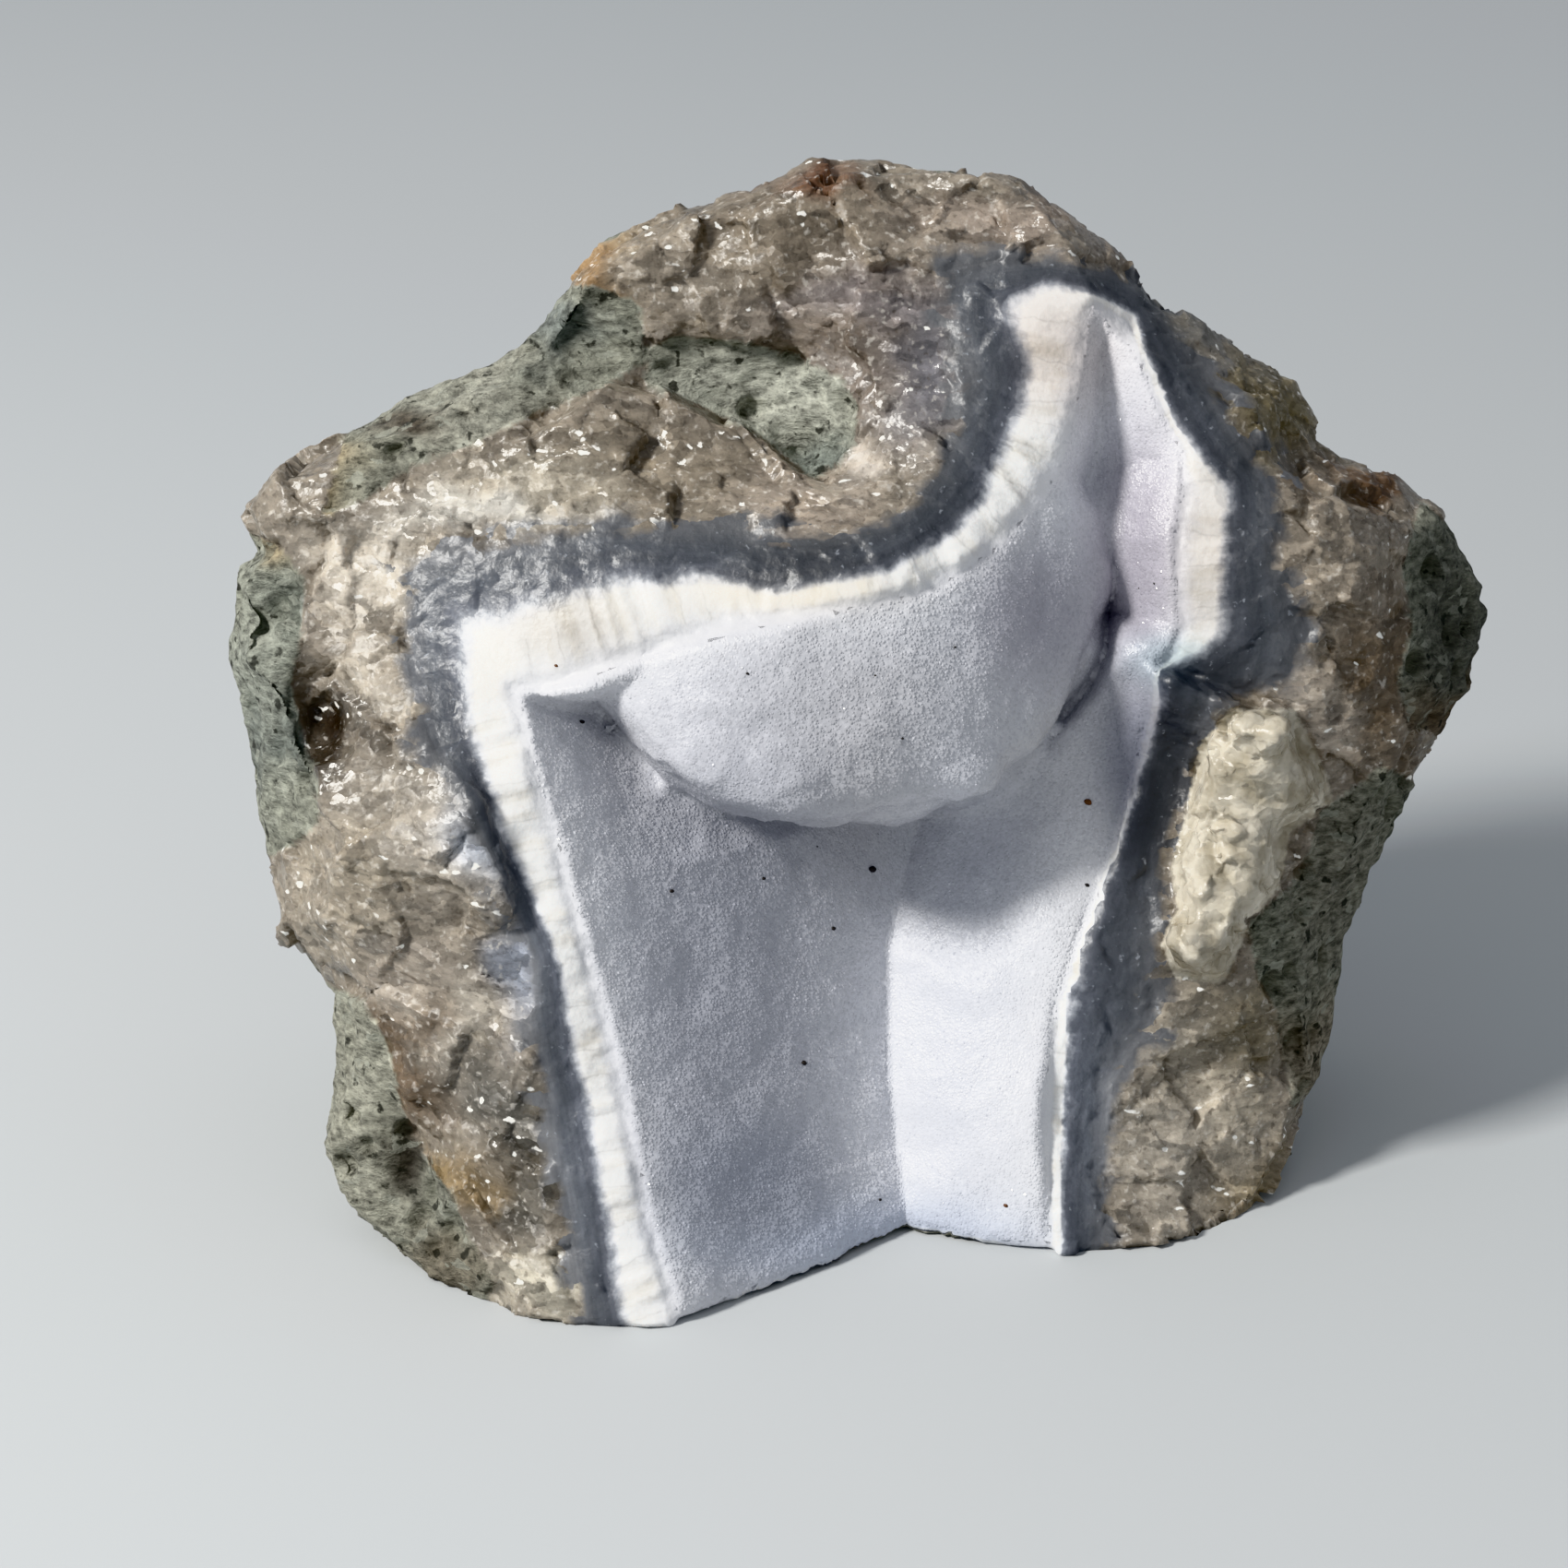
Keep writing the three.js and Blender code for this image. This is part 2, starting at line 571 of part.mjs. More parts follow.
// Merges the edges that matter least, none of them beside another.
function mergeOnce(faces, points, sums, target) {
  const facesAt = points.map(() => []);
  const nextTo = points.map(() => new Set());
  faces.forEach((face) => face.forEach((vertex) => {
    facesAt[vertex].push(face);
    face.forEach((other) => nextTo[vertex].add(other));
  }));
  const merges = [];
  nextTo.forEach((others, u) => others.forEach((v) => {
    if (u < v) {
      merges.push(bestMerge(u, v, points, sums));
    }
  }));
  merges.sort((x, y) => x.cost - y.cost);
  const touched = new Set();
  const gone = new Set();
  let spare = faces.length - target;
  merges.slice(0, Math.ceil(merges.length * MERGES_PER_PASS)).forEach(({ u, v, place, sum }) => {
    const shared = [...nextTo[u]].filter((vertex) => nextTo[v].has(vertex));
    if (spare <= 0 || touched.has(u) || touched.has(v) || shared.length !== 4) {
      return;
    }
    const around = [...facesAt[u], ...facesAt[v]];
    const turns = around.filter((face) => !(face.includes(u) && face.includes(v))).some((face) => {
      const old = face.map((vertex) => points[vertex]);
      const moved = face.map((vertex) => (vertex === u || vertex === v ? place : points[vertex]));
      const [before, after] = [areaNormal(...old), areaNormal(...moved)];
      return before.dot(after) < LEAST_ALIKE * before.length() * after.length() || after.length() < TINY;
    });
    if (turns) {
      return;
    }
    around.forEach((face) => {
      if (face.includes(u) && face.includes(v)) {
        gone.add(face);
      }
      face.forEach((vertex) => touched.add(vertex));
    });
    facesAt[v].forEach((face) => face.splice(face.indexOf(v), 1, u));
    points[u].copy(place);
    sums[u].set(sum);
    spare -= 2;
  });
  return faces.filter((face) => !gone.has(face));
}

// Leaves out the vertices that matter least to the shape, down to a number of triangles.
function simplify({ points, triangles }, target) {
  let faces = [];
  for (let n = 0; n < triangles.length; n += 3) {
    faces.push(triangles.slice(n, n + 3));
  }
  const sums = planeSums(faces, points);
  for (let count = Infinity; faces.length > target && faces.length < count;) {
    count = faces.length;
    faces = mergeOnce(faces, points, sums, target);
  }
  const used = [...new Set(faces.flat())];
  const place = new Map(used.map((vertex, n) => [vertex, n]));
  return { points: used.map((vertex) => points[vertex]), triangles: faces.flat().map((v) => place.get(v)) };
}

// The surface moved outwards along its vertex normals.
function offset({ points, triangles }, distance) {
  const normals = points.map(() => new THREE.Vector3());
  for (let n = 0; n < triangles.length; n += 3) {
    const face = triangles.slice(n, n + 3);
    const normal = areaNormal(...face.map((vertex) => points[vertex]));
    face.forEach((vertex) => normals[vertex].add(normal));
  }
  const moved = points.map((point, n) => point.clone().addScaledVector(normals[n].normalize(), distance));
  return { points: moved, triangles };
}

const wasm = await Module();
wasm.setup();

function toSolid({ points, triangles }) {
  const vertProperties = new Float32Array(points.flatMap((point) => point.toArray()));
  const triVerts = new Uint32Array(triangles);
  return new wasm.Manifold(new wasm.Mesh({ numProp: 3, vertProperties, triVerts }));
}

// A solid block from one corner to the other.
function block(low, high) {
  const size = high.map((value, n) => value - low[n]);
  const geometry = new THREE.BoxGeometry(...size);
  geometry.translate(...low.map((value, n) => value + size[n] / 2));
  const position = geometry.getAttribute('position');
  const points = [];
  const names = new Map();
  const triangles = Array.from(geometry.index.array, (vertex) => {
    const point = new THREE.Vector3().fromBufferAttribute(position, vertex);
    const name = point.toArray().join();
    if (!names.has(name)) {
      names.set(name, points.push(point) - 1);
    }
    return names.get(name);
  });
  return toSolid({ points, triangles });
}

// The largest of a solid's separate bodies.
function mainBody(solid) {
  return solid.decompose().reduce((x, y) => (y.volume() > x.volume() ? y : x));
}

function toMesh(name, solid, centre, material) {
  const { vertProperties, triVerts } = solid.getMesh();
  const geometry = new THREE.BufferGeometry();
  geometry.setAttribute('position', new THREE.BufferAttribute(vertProperties, 3));
  geometry.setIndex(new THREE.BufferAttribute(triVerts, 1));
  geometry.translate(-centre[0], -centre[1], 0);
  const mesh = new THREE.Mesh(geometry, material);
  mesh.name = name;
  return mesh;
}

const grid = new FacetGrid(FACET, DEEP_FACET);
const whole = toSolid(simplify(grid.surface(stoneField), STONE_TRIANGLES));
const air = simplify(grid.surface(airField), HOLLOW_TRIANGLES);
const underTable = block([-FAR, -FAR, -FAR], [FAR, FAR, 0]);
const underCrust = block([-FAR, -FAR, -FAR], [FAR, FAR, CRUST_LIFT]);

const grounded = whole.subtract(underTable);
const stone = mainBody(grounded.subtract(toSolid(offset(air, CRUST_THICKNESS))));
const lining = toSolid(offset(air, CRUST_THICKNESS - CRUST_GAP)).subtract(toSolid(air));
const crust = mainBody(grounded.intersect(lining).subtract(underCrust));

const boxes = [stone.boundingBox(), crust.boundingBox()];
const centre = [0, 1].map((axis) => (
  Math.min(...boxes.map(({ min }) => min[axis])) + Math.max(...boxes.map(({ max }) => max[axis]))) / 2);

const group = new THREE.Group();
group.add(toMesh('stone', stone, centre,
  new THREE.MeshStandardMaterial({ color: '#8a837a', roughness: 0.7, metalness: 0 })));
group.add(toMesh('druse_crust', crust, centre,
  new THREE.MeshStandardMaterial({ color: '#c9c9d8', roughness: 0.5, metalness: 0 })));
export default group;
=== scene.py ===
"""Dresses a broken chunk of geode: banded chalcedony in a quartz and basalt rind, round a hollow
that is lined with a sugary crust of tiny quartz crystals.

The broken face is described as it is seen from in front and a little above, as in the part. A face
point has a, millimetres to the right, b, millimetres up, and w, millimetres of depth away from the
eye. Arrays of points have one row for each point. Millimetres throughout, until a mesh is made.
"""

import logging
import math
from collections.abc import Sequence
from dataclasses import dataclass, field
from enum import Enum
from itertools import product

import bmesh
import bpy
import numpy as np
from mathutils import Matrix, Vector


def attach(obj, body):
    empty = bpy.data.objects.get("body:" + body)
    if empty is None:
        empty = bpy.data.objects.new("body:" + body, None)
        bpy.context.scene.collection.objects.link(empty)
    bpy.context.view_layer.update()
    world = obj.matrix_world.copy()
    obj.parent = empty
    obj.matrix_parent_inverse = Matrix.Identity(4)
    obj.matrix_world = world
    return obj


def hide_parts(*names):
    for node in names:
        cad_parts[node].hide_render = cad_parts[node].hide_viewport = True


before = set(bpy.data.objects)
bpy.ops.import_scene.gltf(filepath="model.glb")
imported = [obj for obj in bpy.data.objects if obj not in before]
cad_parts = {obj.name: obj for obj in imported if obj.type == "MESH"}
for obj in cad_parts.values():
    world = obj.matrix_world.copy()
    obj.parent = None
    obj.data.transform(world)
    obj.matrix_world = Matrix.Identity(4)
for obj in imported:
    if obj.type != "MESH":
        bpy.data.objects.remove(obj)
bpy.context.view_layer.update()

Array = np.ndarray
Line = Sequence[Sequence[float]]
Mesh = bpy.types.Mesh
Node = bpy.types.Node
Piece = bpy.types.Object
Socket = bpy.types.NodeSocket
Tree = bpy.types.NodeTree

MM = 0.001
QUARTZ_IOR = 1.54
log = logging.getLogger("geode")

# The kinds of node that are used most.
ATTRIBUTE = "ShaderNodeAttribute"
CELLS = "ShaderNodeTexVoronoi"
MATH = "ShaderNodeMath"
MIX = "ShaderNodeMix"
NOISE = "ShaderNodeTexNoise"
RANGE = "ShaderNodeMapRange"
VECTOR = "ShaderNodeVectorMath"

# What scrambles the repeatable random numbers, and what tilts the facets by them.
SCRAMBLE = (127.1, 311.7, 74.7)
SCRAMBLE_GAIN = 43758.5453
SEED_SHIFTS = (0.3, 17.1, 41.7)
LABEL_SHIFT = 5.5
FACET_TURNS = (127.0, 311.0, 74.0)
FACET_SLOPE = 1.4

# The outline of the stone, clockwise from the lower left, with sides that run below the table.
OUTLINE = [
    (-22.8, -60), (-26.2, -46), (-30.2, -44.5), (-33, -41.4), (-37.9, -36.8), (-40.2, -32),
    (-39, -24.6), (-39.4, -18.2), (-44.3, -13.4), (-45.3, -5.7), (-46.6, 3.6), (-48.5, 10.5),
    (-48, 18.1), (-46.2, 20.5), (-47.4, 24.5), (-44.3, 27.5), (-38.2, 30.7), (-33.4, 34.1),
    (-25.7, 36.5), (-21.6, 39.7), (-16.7, 46.8), (-14.5, 48.2), (-8.3, 50.4), (-2.6, 51.6),
    (2.7, 54.2), (6, 54.5), (16, 53.4), (20, 53), (23.2, 51.4), (29.1, 46.9), (32.8, 42.6),
    (37.2, 39.8), (40.1, 37.2), (44.8, 35.3), (46.8, 30.4), (48.8, 28.8), (52.8, 27), (57.8, 24),
    (60.6, 18.9), (61.4, 15), (60.4, 8.8), (56.8, 2.9), (53.1, -4.5), (48.9, -13.2),
    (47.9, -22.2), (44.3, -32.4), (41, -37.2), (37.5, -39.5), (36.5, -60),
]

# Depths of the outline's ridge, where the face side turns into the back: a, b, w.
RIDGE_DEPTHS = [
    (-33, -41, 12), (-40, -28, 14), (-46, 0, 12), (-47, 22, 12), (-30, 35, 12), (-8, 50, 12),
    (14, 54, 13), (35, 41, 17), (48, 29, 20), (61, 15, 24), (50, -10, 26), (44, -32, 25),
    (38, -39, 17), (0, -58, 12),
]

# Depths of the broken face: a, b, w.
FACE_DEPTHS = [
    (-12, -48, 0), (-23, -47, 2), (-30, -44, 7), (-17, -20, -1.5), (-27, 7, -2.5), (-34, 19, 2),
    (-32, -4, -4), (-40, -2, -1), (-27, -28, 1), (-36, -28, 9), (-22, 22, -1.5), (-12, 20, -3),
    (-20, 10, -2.8), (-14, 12, -3.4), (-5, 15, -4.2), (0, 18, -4.4), (6, 20, -3.6),
    (12, 18, -2.2), (17, 21, 0.4), (21, 24, 3),
    (24, 27, 5), (-14, 33, 3), (-2, 34, 8), (5, 30, 5), (4, 45, 6), (12, 51, 9), (-10, 42, 6),
    (16, 33, 4), (23, 37, 5), (27, 44, 8), (36, 30, 8), (39, 20, 7), (49, 19, 9), (57, 16, 19),
    (50, 8, 12), (35, 9, 10.5), (33, 3, 13.5), (31.5, -5, 14.3), (31, -12, 13.5), (41, -8, 12),
    (28, -30, 13), (22, -42, 11.5), (29, -41, 12.5), (36, -40, 15), (39, -32, 18),
]

# The rim of the hollow: a, b, then how steeply the wall goes down from there, and how much of that
# steepness it only gains further in.
LEFT_RIM = [
    (-8, -62, 0.38, 0), (-8.9, -47.8, 0.38, 0), (-12.1, -38, 0.42, 0), (-14.7, -25, 0.5, 0),
    (-18.9, -9.7, 0.62, 0), (-20.7, -3, 0.9, 0), (-22.5, 4, 1.4, 0), (-23.8, 8.3, 1.9, 0),
]
LOBE_RIM = [
    (-23.8, 8.3, 1.9, 0), (-20, 9, 2.2, 0), (-13.6, 11.2, 2.8, 0), (-4.9, 14.1, 3, 0),
    (6.5, 15.8, 3, 0), (12.1, 17, 3, 0), (16.2, 19, 3, 0), (19.4, 21.7, 3, 0),
    (21.9, 24.5, 2.8, 0), (23.7, 27.4, 2.6, 0), (25.1, 31, 2.4, 0), (25.9, 36.4, 2.2, 0),
    (26.6, 40.5, 1.8, 0), (27.4, 42.3, 1.4, 0),
]
RIGHT_RIM = [
    (27.4, 42.3, 1.1, 0), (30.1, 40.5, 1, 0), (31.8, 36.4, 1, 0), (33.4, 32.4, 1, 0),
    (35, 29, 1, 0.1), (35.2, 25.9, 1, 0.2), (34.5, 21.6, 1.2, 0.2), (34.7, 17, 1.4, 0.2),
    (35, 13.8, 1.4, 0.2), (34.2, 11.7, 1.2, 0.3), (32.4, 9.3, 1.1, 0.3), (31.6, 4.9, 1.15, 0.35),
    (29.8, -0.8, 1.15, 0.4), (26.7, -10.9, 0.92, 0.45), (23.9, -19.4, 0.78, 0.42),
    (23.5, -25.1, 0.73, 0.4), (23.3, -31.6, 0.7, 0.4), (23.3, -39.7, 0.65, 0.4), (23.3, -62, 0.65, 0.4),
]
RIM = [*LEFT_RIM, *LOBE_RIM[1:], *RIGHT_RIM[1:]]

# Outer edges of the white band and of the blue-grey band, clockwise from the lower left.
WHITE_EDGE = [
    (-12, -62), (-14.3, -47.6), (-15.7, -37.7), (-17.4, -28), (-18.5, -23.5), (-19.8, -16),
    (-22.6, -8.8), (-25.3, -3.6), (-25.7, -0.5), (-27.9, 4.5), (-28.2, 11.9), (-28.7, 15),
    (-24.8, 14.7), (-21.6, 16), (-15.5, 18.1), (-6.6, 18.4), (-0.4, 16.7), (3.3, 17.7),
    (8.9, 18.7), (14.6, 21.9), (17.7, 25.1), (18.3, 28.5), (20.2, 32.2), (21.4, 36.5),
    (20.2, 39.4), (19.5, 42.4), (23.2, 44.3), (27, 43.1), (30.9, 41.2), (31.7, 37.8),
    (34.3, 31.6), (36.6, 28.7), (39.1, 26.4), (38.9, 21.3), (38.5, 13.4), (36.8, 11.7),
    (32.8, 9.9), (33.1, 6.5), (31.6, 1.6), (30, -4), (27.4, -10.1), (25.4, -14.6), (26.4, -16.4),
    (24.8, -18.4), (24.9, -23.6), (24.5, -28.7), (24.4, -33.9), (24.4, -39.6), (24.4, -62),
]
BLUE_EDGE = [
    (-16, -62), (-17.8, -47), (-20.1, -35.6), (-21.9, -25.1), (-22.5, -20.2), (-22.3, -15.4),
    (-24.7, -10.1), (-27.2, -3.9), (-30.9, 2.6), (-33.4, 8.8), (-33.8, 15), (-34.3, 19.4),
    (-32.8, 20.2), (-24.8, 21.8), (-15.5, 23.4), (-8.8, 22.9), (3.6, 21.9), (9.8, 23.8),
    (13.8, 28.8), (15.4, 35), (13.8, 40.6), (14.2, 45.2), (19.1, 46.2), (28.3, 45.3),
    (30.8, 44.5), (35.6, 38.9), (38.9, 34), (43.8, 26), (43.8, 19.5), (46.3, 11.7),
    (44.5, 8.1), (38.9, 6.9), (36.7, 4.5), (35.1, -2.3), (33.9, -5.4), (34.2, -8.6),
    (33.3, -12.6), (32.9, -22), (30.9, -23.1), (29, -26.2), (28.7, -31.3), (28, -39.1), (27, -62),
]

# Ledges of the broken face: the line, the step down on its left-hand side, and its reach.
LEDGES = [
    ([(-26, 28.5), (-19.7, 32.6), (-16, 35.4), (-10.4, 34.4), (-4.5, 31.3), (1.5, 27), (8, 24.5)], 4, 9),
    ([(-26.7, -13.5), (-23.7, -11.5), (-23.8, -8), (-25.9, -2.4), (-29, 3)], -2.2, 9),
    ([(46, 6.6), (41.7, 6.8), (38.9, 7.7), (35.6, 8.9), (31, 11)], -3.5, 5),
]

# The crevice between the lobe and the right-hand wall.
CREVICE = [(27.6, 19.4), (28.3, 14.5), (28.3, 11.6), (27.1, 9.2), (25.5, 7.2), (22.6, 4.2)]

# The raised slab of cream quartz on the right.
TONGUE = [
    (39.4, 6.6), (36.5, 3.5), (35.1, -3.6), (34, -7), (34.5, -11), (33.1, -14), (34.2, -16.9),
    (38.5, -17.6), (41.1, -12), (43.5, -9.1), (44.5, -4.2), (48.2, -1.5), (47.3, 1.5), (44.8, 6.6),
]

# Round hollows and lumps of the face: a, b, half width, half height, then the depth at the middle.
DIMPLES = [
    (-40.3, 5.8, 3, 4, 5.5), (-31.8, -32.5, 3, 5, 4), (47, -10, 5, 10, 4), (45, -24, 2.4, 3.4, 3),
    (-18.5, 39, 2.6, 2, 2), (1.5, 28.5, 3.2, 2.4, 3), (-32.8, -26.6, 2, 2, -2),
    (-22.2, -42.5, 4, 3.2, -1.4), (-20.9, -18.5, 2.8, 6, -1.2), (54, 14, 6, 9, -2),
    (-42, 24, 4, 4, -1.5), (-37, -22, 3, 4, 1.5), (30.5, 11.5, 3.5, 2.2, -1.5),
]

# Where basalt of the rind shows on the face.
BASALT_PATCHES = [
    [(-50.6, 23.5), (-44.5, 21.1), (-42.1, 18.1), (-42.4, 12.6), (-43.3, 8.8), (-42.4, 5.1),
     (-40.9, 0.1), (-41.1, -3.6), (-43.3, -5.4), (-47, -7.3), (-51, 4)],
    [(-41.3, -17), (-36.8, -19), (-34.8, -22.7), (-33.6, -28.3), (-31.6, -32.4), (-29.1, -36.4),
     (-27.5, -39.7), (-25.5, -43.7), (-26.7, -47), (-36.4, -47), (-42.9, -28.3)],
    [(-38.5, 30.8), (-33.2, 34.8), (-26.7, 38.1), (-21.9, 40.5), (-20.2, 43.7), (-16.2, 43.7),
     (-12.6, 42.1), (-12.1, 37.2), (-15.4, 35.2), (-20.2, 33.2), (-25.1, 30.9), (-32.4, 27.9),
     (-37.2, 24.7), (-40.5, 23.5)],
    [(-12.1, 38.1), (-9.7, 39.3), (-4, 38.9), (0.8, 37.7), (4.9, 35.6), (6.5, 33.2), (6.1, 30),
     (4, 27.5), (2.4, 26.7), (0.8, 28.3), (-2.4, 30.8), (-5.7, 32.4), (-8.9, 34), (-12.1, 35.2)],
    [(55.9, 25.1), (59.1, 21.9), (64, 16.2), (62.3, 8.9), (59.1, 4), (55.1, 4.9), (53.8, 8.9),
     (55.1, 13.8), (54.3, 18.6)],
    [(47, -2.4), (52.6, 1.6), (57.5, -0.8), (54.3, -8.9), (51, -17), (48.6, -26.7), (44.5, -28.3),
     (43.3, -20.2), (41.3, -16.2), (40.9, -12.1), (44.5, -8.9), (46.2, -5.7)],
]

# Stains and changes of tone: a, b, half width, half height, colour.
QUARTZ_TONES = [
    (-32, -4, 9, 8, "#938c82"), (-38, -8, 5, 6, "#8f8678"), (-26, -2, 3, 6, "#a3a6ad"),
    (-36, 18, 5, 5, "#b4aca0"), (-37, 9, 4, 3, "#a0988c"), (-12, 28, 12, 5, "#7c7366"),
    (-22, 27, 7, 3, "#a39b8d"), (-26, 23.5, 8, 2, "#b0aca4"), (2, 24, 6, 3, "#978c80"),
    (0, 48, 12, 5, "#736a5e"), (8, 42, 8, 4, "#857d7b"), (20, 50, 9, 3, "#857a70"),
    (-15, 46, 3, 3.5, "#94836a"), (-16.5, 44, 2, 3, "#8f7453"), (2, 52.5, 5, 1.6, "#684c3a"),
    (-10, 44, 5, 4, "#7d756a"), (5, 36, 9, 5, "#716860"), (13, 36, 4, 7, "#6c6a6e"),
    (7, 28, 3, 2, "#bdb4aa"), (44, 34, 5, 5, "#6c634c"), (36, 40, 6, 5, "#65625c"),
    (52, 27, 5, 2, "#5a4430"), (48, 16, 7, 9, "#857c70"), (47, 4, 5, 5, "#968d82"),
    (53, 8, 3, 8, "#65594a"), (38, -27, 6, 9, "#9b9386"), (33, -34, 5, 6, "#a49c90"),
    (41, -36, 4, 3, "#857a66"), (41, -22, 4, 5, "#807765"), (-32, -18, 5, 3, "#90877c"),
    (-33, -25, 4, 4, "#5f5142"), (-28, -22, 3, 4, "#9f988d"), (-25, -29, 4, 5, "#5c5953"),
    (-24, -37, 4, 4, "#57534c"), (-29, -35, 2.5, 3, "#78684f"), (-22, -43.5, 4.5, 2.5, "#a8a294"),
    (-40.3, 5.8, 3.6, 4.5, "#1d1610"), (-22.4, -16, 2.8, 6.5, "#8a8e98"),
]
BASALT_TONES = [
    (-46, 10, 4, 12, "#989b90"), (-44, 4, 3, 4, "#6e736d"), (-44, 15, 2.5, 4, "#6f736a"),
    (-37, -30, 6, 14, "#98978a"), (-32, -33, 2.5, 5, "#4a4741"), (-30, -43, 6, 3, "#746e61"),
    (-26, 32, 12, 5, "#9a998d"), (-19, 39, 3, 2.5, "#7b807b"), (-33, 30, 4, 2, "#585147"),
    (-42, 25, 4, 4, "#a08f70"), (-2, 34, 9, 6, "#b3b4a8"), (3, 29, 3, 2.5, "#80867f"),
    (59, 14, 4, 9, "#6a6a62"), (58, 5, 5, 4, "#6b6154"), (48, -8, 6, 10, "#8b897e"),
    (47, -24, 4, 6, "#958e80"),
]
SHADES = [
    (-31, 14, 4, 6, 1.35), (-27, 19, 7, 4, 1.25), (-24, 17.5, 4, 3, 1.25), (-10, 19.5, 7, 3, 0.9),
    (3, 19.5, 6, 3, 0.55), (14, 25, 3, 4, 0.75), (17, 38, 3, 6, 1.05), (33, 38, 4, 5, 0.62),
    (40, 28, 3, 4, 0.6), (41, 18, 3, 6, 0.75), (38, 10, 3, 3, 0.5), (33, -1, 2.5, 8, 0.42),
    (29, -14, 4, 6, 0.9), (27, -28, 3, 9, 2), (-19, -35, 3, 10, 1.6), (-22.4, -16, 2.8, 5, 1.7),
    (-27, -2, 3, 6, 0.75),
]

# Soft changes of colour of the white band and the crystals, and painted shade on the shaded walls: a, b,
# half width, half height, colour.
WHITE_TINTS_AND_PAINTED_SHADE = [
    # Painted shade: the second patch darkens the left wall of the hollow, which lies in shade.
    (4, 2, 23, 14, "#d2d1d1"), (-5, -20, 11, 28, "#c5c6cb"), (16, -20, 7, 26, "#e9eaed"),
    # Painted shade: the second and third patches darken the low left wall and the lobe's right side, which
    # lie in shade.
    (8, -40, 16, 4, "#d5dbe6"), (-3, -35, 8, 6, "#b5b8c0"), (22.5, 15, 6, 7, "#c6c4c9"),
    (-20, 14, 7, 3.5, "#cfccc9"), (-28, 14, 3, 3, "#ffffff"), (24, 38, 6, 6, "#e2dbd7"),
    (0, 17, 9, 2, "#f4efe7"), (31.5, 20, 4.5, 14, "#b9b4ba"), (37.5, 20, 3, 8, "#dad5d1"),
    # The last patch darkens the strip right of the lobe: partly the band's own translucent grey, partly
    # painted shadow of the lobe.
    (34, 10.5, 4, 2.5, "#d5e3e8"), (31.5, 2, 4.5, 9, "#90929d"),
]

# Dark grains of iron oxide on the crystals: a, b, half length, and whether they are rusty.
SPECKS = [
    (7.7, -7.5, 0.42, False), (4.3, -12.7, 0.26, False), (1.7, -24.5, 0.3, False),
    (-9.9, -9.4, 0.24, False), (-1.8, -8.3, 0.2, False), (2.8, -5.5, 0.2, False),
    (26.6, -8.9, 0.24, False), (26.7, -1.6, 0.38, True), (-17.8, 5.4, 0.28, False),
    (-3.2, 9.7, 0.16, False), (10.4, 4, 0.14, False), (32.6, 17.6, 0.18, False),
    (31.2, 17.2, 0.14, False), (19.5, -37, 0.24, True), (8.4, -36.5, 0.18, False),
    (-20, 10.4, 0.2, True), (15, 12, 0.14, False), (8, 9.5, 0.15, False),
]


def smoothstep(low: float, high: float, x: Array) -> Array:
    """Rises smoothly from 0 at low to 1 at high."""
    t = np.clip((x - low) / (high - low), 0, 1)
    return t * t * (3 - 2 * t)


def soft_min(x: Array, y: Array, softness: float) -> Array:
    """The smaller of two values, rounded off where they are nearly alike."""
    blend = np.maximum(softness - np.abs(x - y), 0) / softness
    return np.minimum(x, y) - blend * blend * softness / 4


def lattice_random(i: Array, j: Array, k: Array) -> Array:
    """A repeatable random number from 0 to 1 for each corner of a unit lattice."""
    scrambled = np.sin(i * SCRAMBLE[0] + j * SCRAMBLE[1] + k * SCRAMBLE[2]) * SCRAMBLE_GAIN
    return scrambled - np.floor(scrambled)


def noise(points: Array, size: float) -> Array:
    """Smooth noise from -1 to 1 at points of space.

    Args:
        points: the points, one in each row.
        size: the width of one lump.

    Returns:
        One value for each point.
    """
    scaled = points / size
    cell = np.floor(scaled).astype(int)
    t = scaled - cell
    t = t * t * (3 - 2 * t)
    low, high = cell.min(axis=0), cell.max(axis=0)
    corners = np.meshgrid(*[np.arange(first, last + 2) for first, last in zip(low, high)], indexing="ij")
    table = lattice_random(*corners)
    place = cell - low
    total = np.zeros(len(points))
    for step in product((0, 1), repeat=3):
        weight = np.prod(np.where(np.array(step) == 1, t, 1 - t), axis=1)
        total += weight * table[tuple((place + step).T)]
    return 2 * total - 1


def lumps(layers: Sequence[tuple[float, float]], points: Array) -> Array:
    """The sum of noises of several sizes and heights."""
    return sum(height * noise(points, size) for size, height in layers)


def cells(points: Array, size: float) -> tuple[Array, Array, Array]:
    """Finds the nearest of one scattered seed in each cell of a lattice.

    Args:
        points: the points, one in each row.
        size: the lattice's spacing.

    Returns:
        The way from the nearest seed to each point, in lattice units, that seed's random number,
        and how much further the second nearest seed is.
    """
    scaled = points / size
    base = np.floor(scaled)
    nearest = np.full(len(points), np.inf)
    second = np.full(len(points), np.inf)
    offset = np.zeros_like(points)
    label = np.zeros(len(points))
    for step in product((-1, 0, 1), repeat=3):
        cell = base + step
        i, j, k = cell.T
        jitter = [lattice_random(i + shift, j, k) for shift in SEED_SHIFTS]
        away = scaled - cell - np.stack(jitter, axis=1)
        distance = np.linalg.norm(away, axis=1)
        closer = distance < nearest
        second = np.where(closer, nearest, np.minimum(second, distance))
        nearest = np.where(closer, distance, nearest)
        offset[closer] = away[closer]
        label = np.where(closer, lattice_random(i, j + LABEL_SHIFT, k), label)
    return offset, label, second - nearest


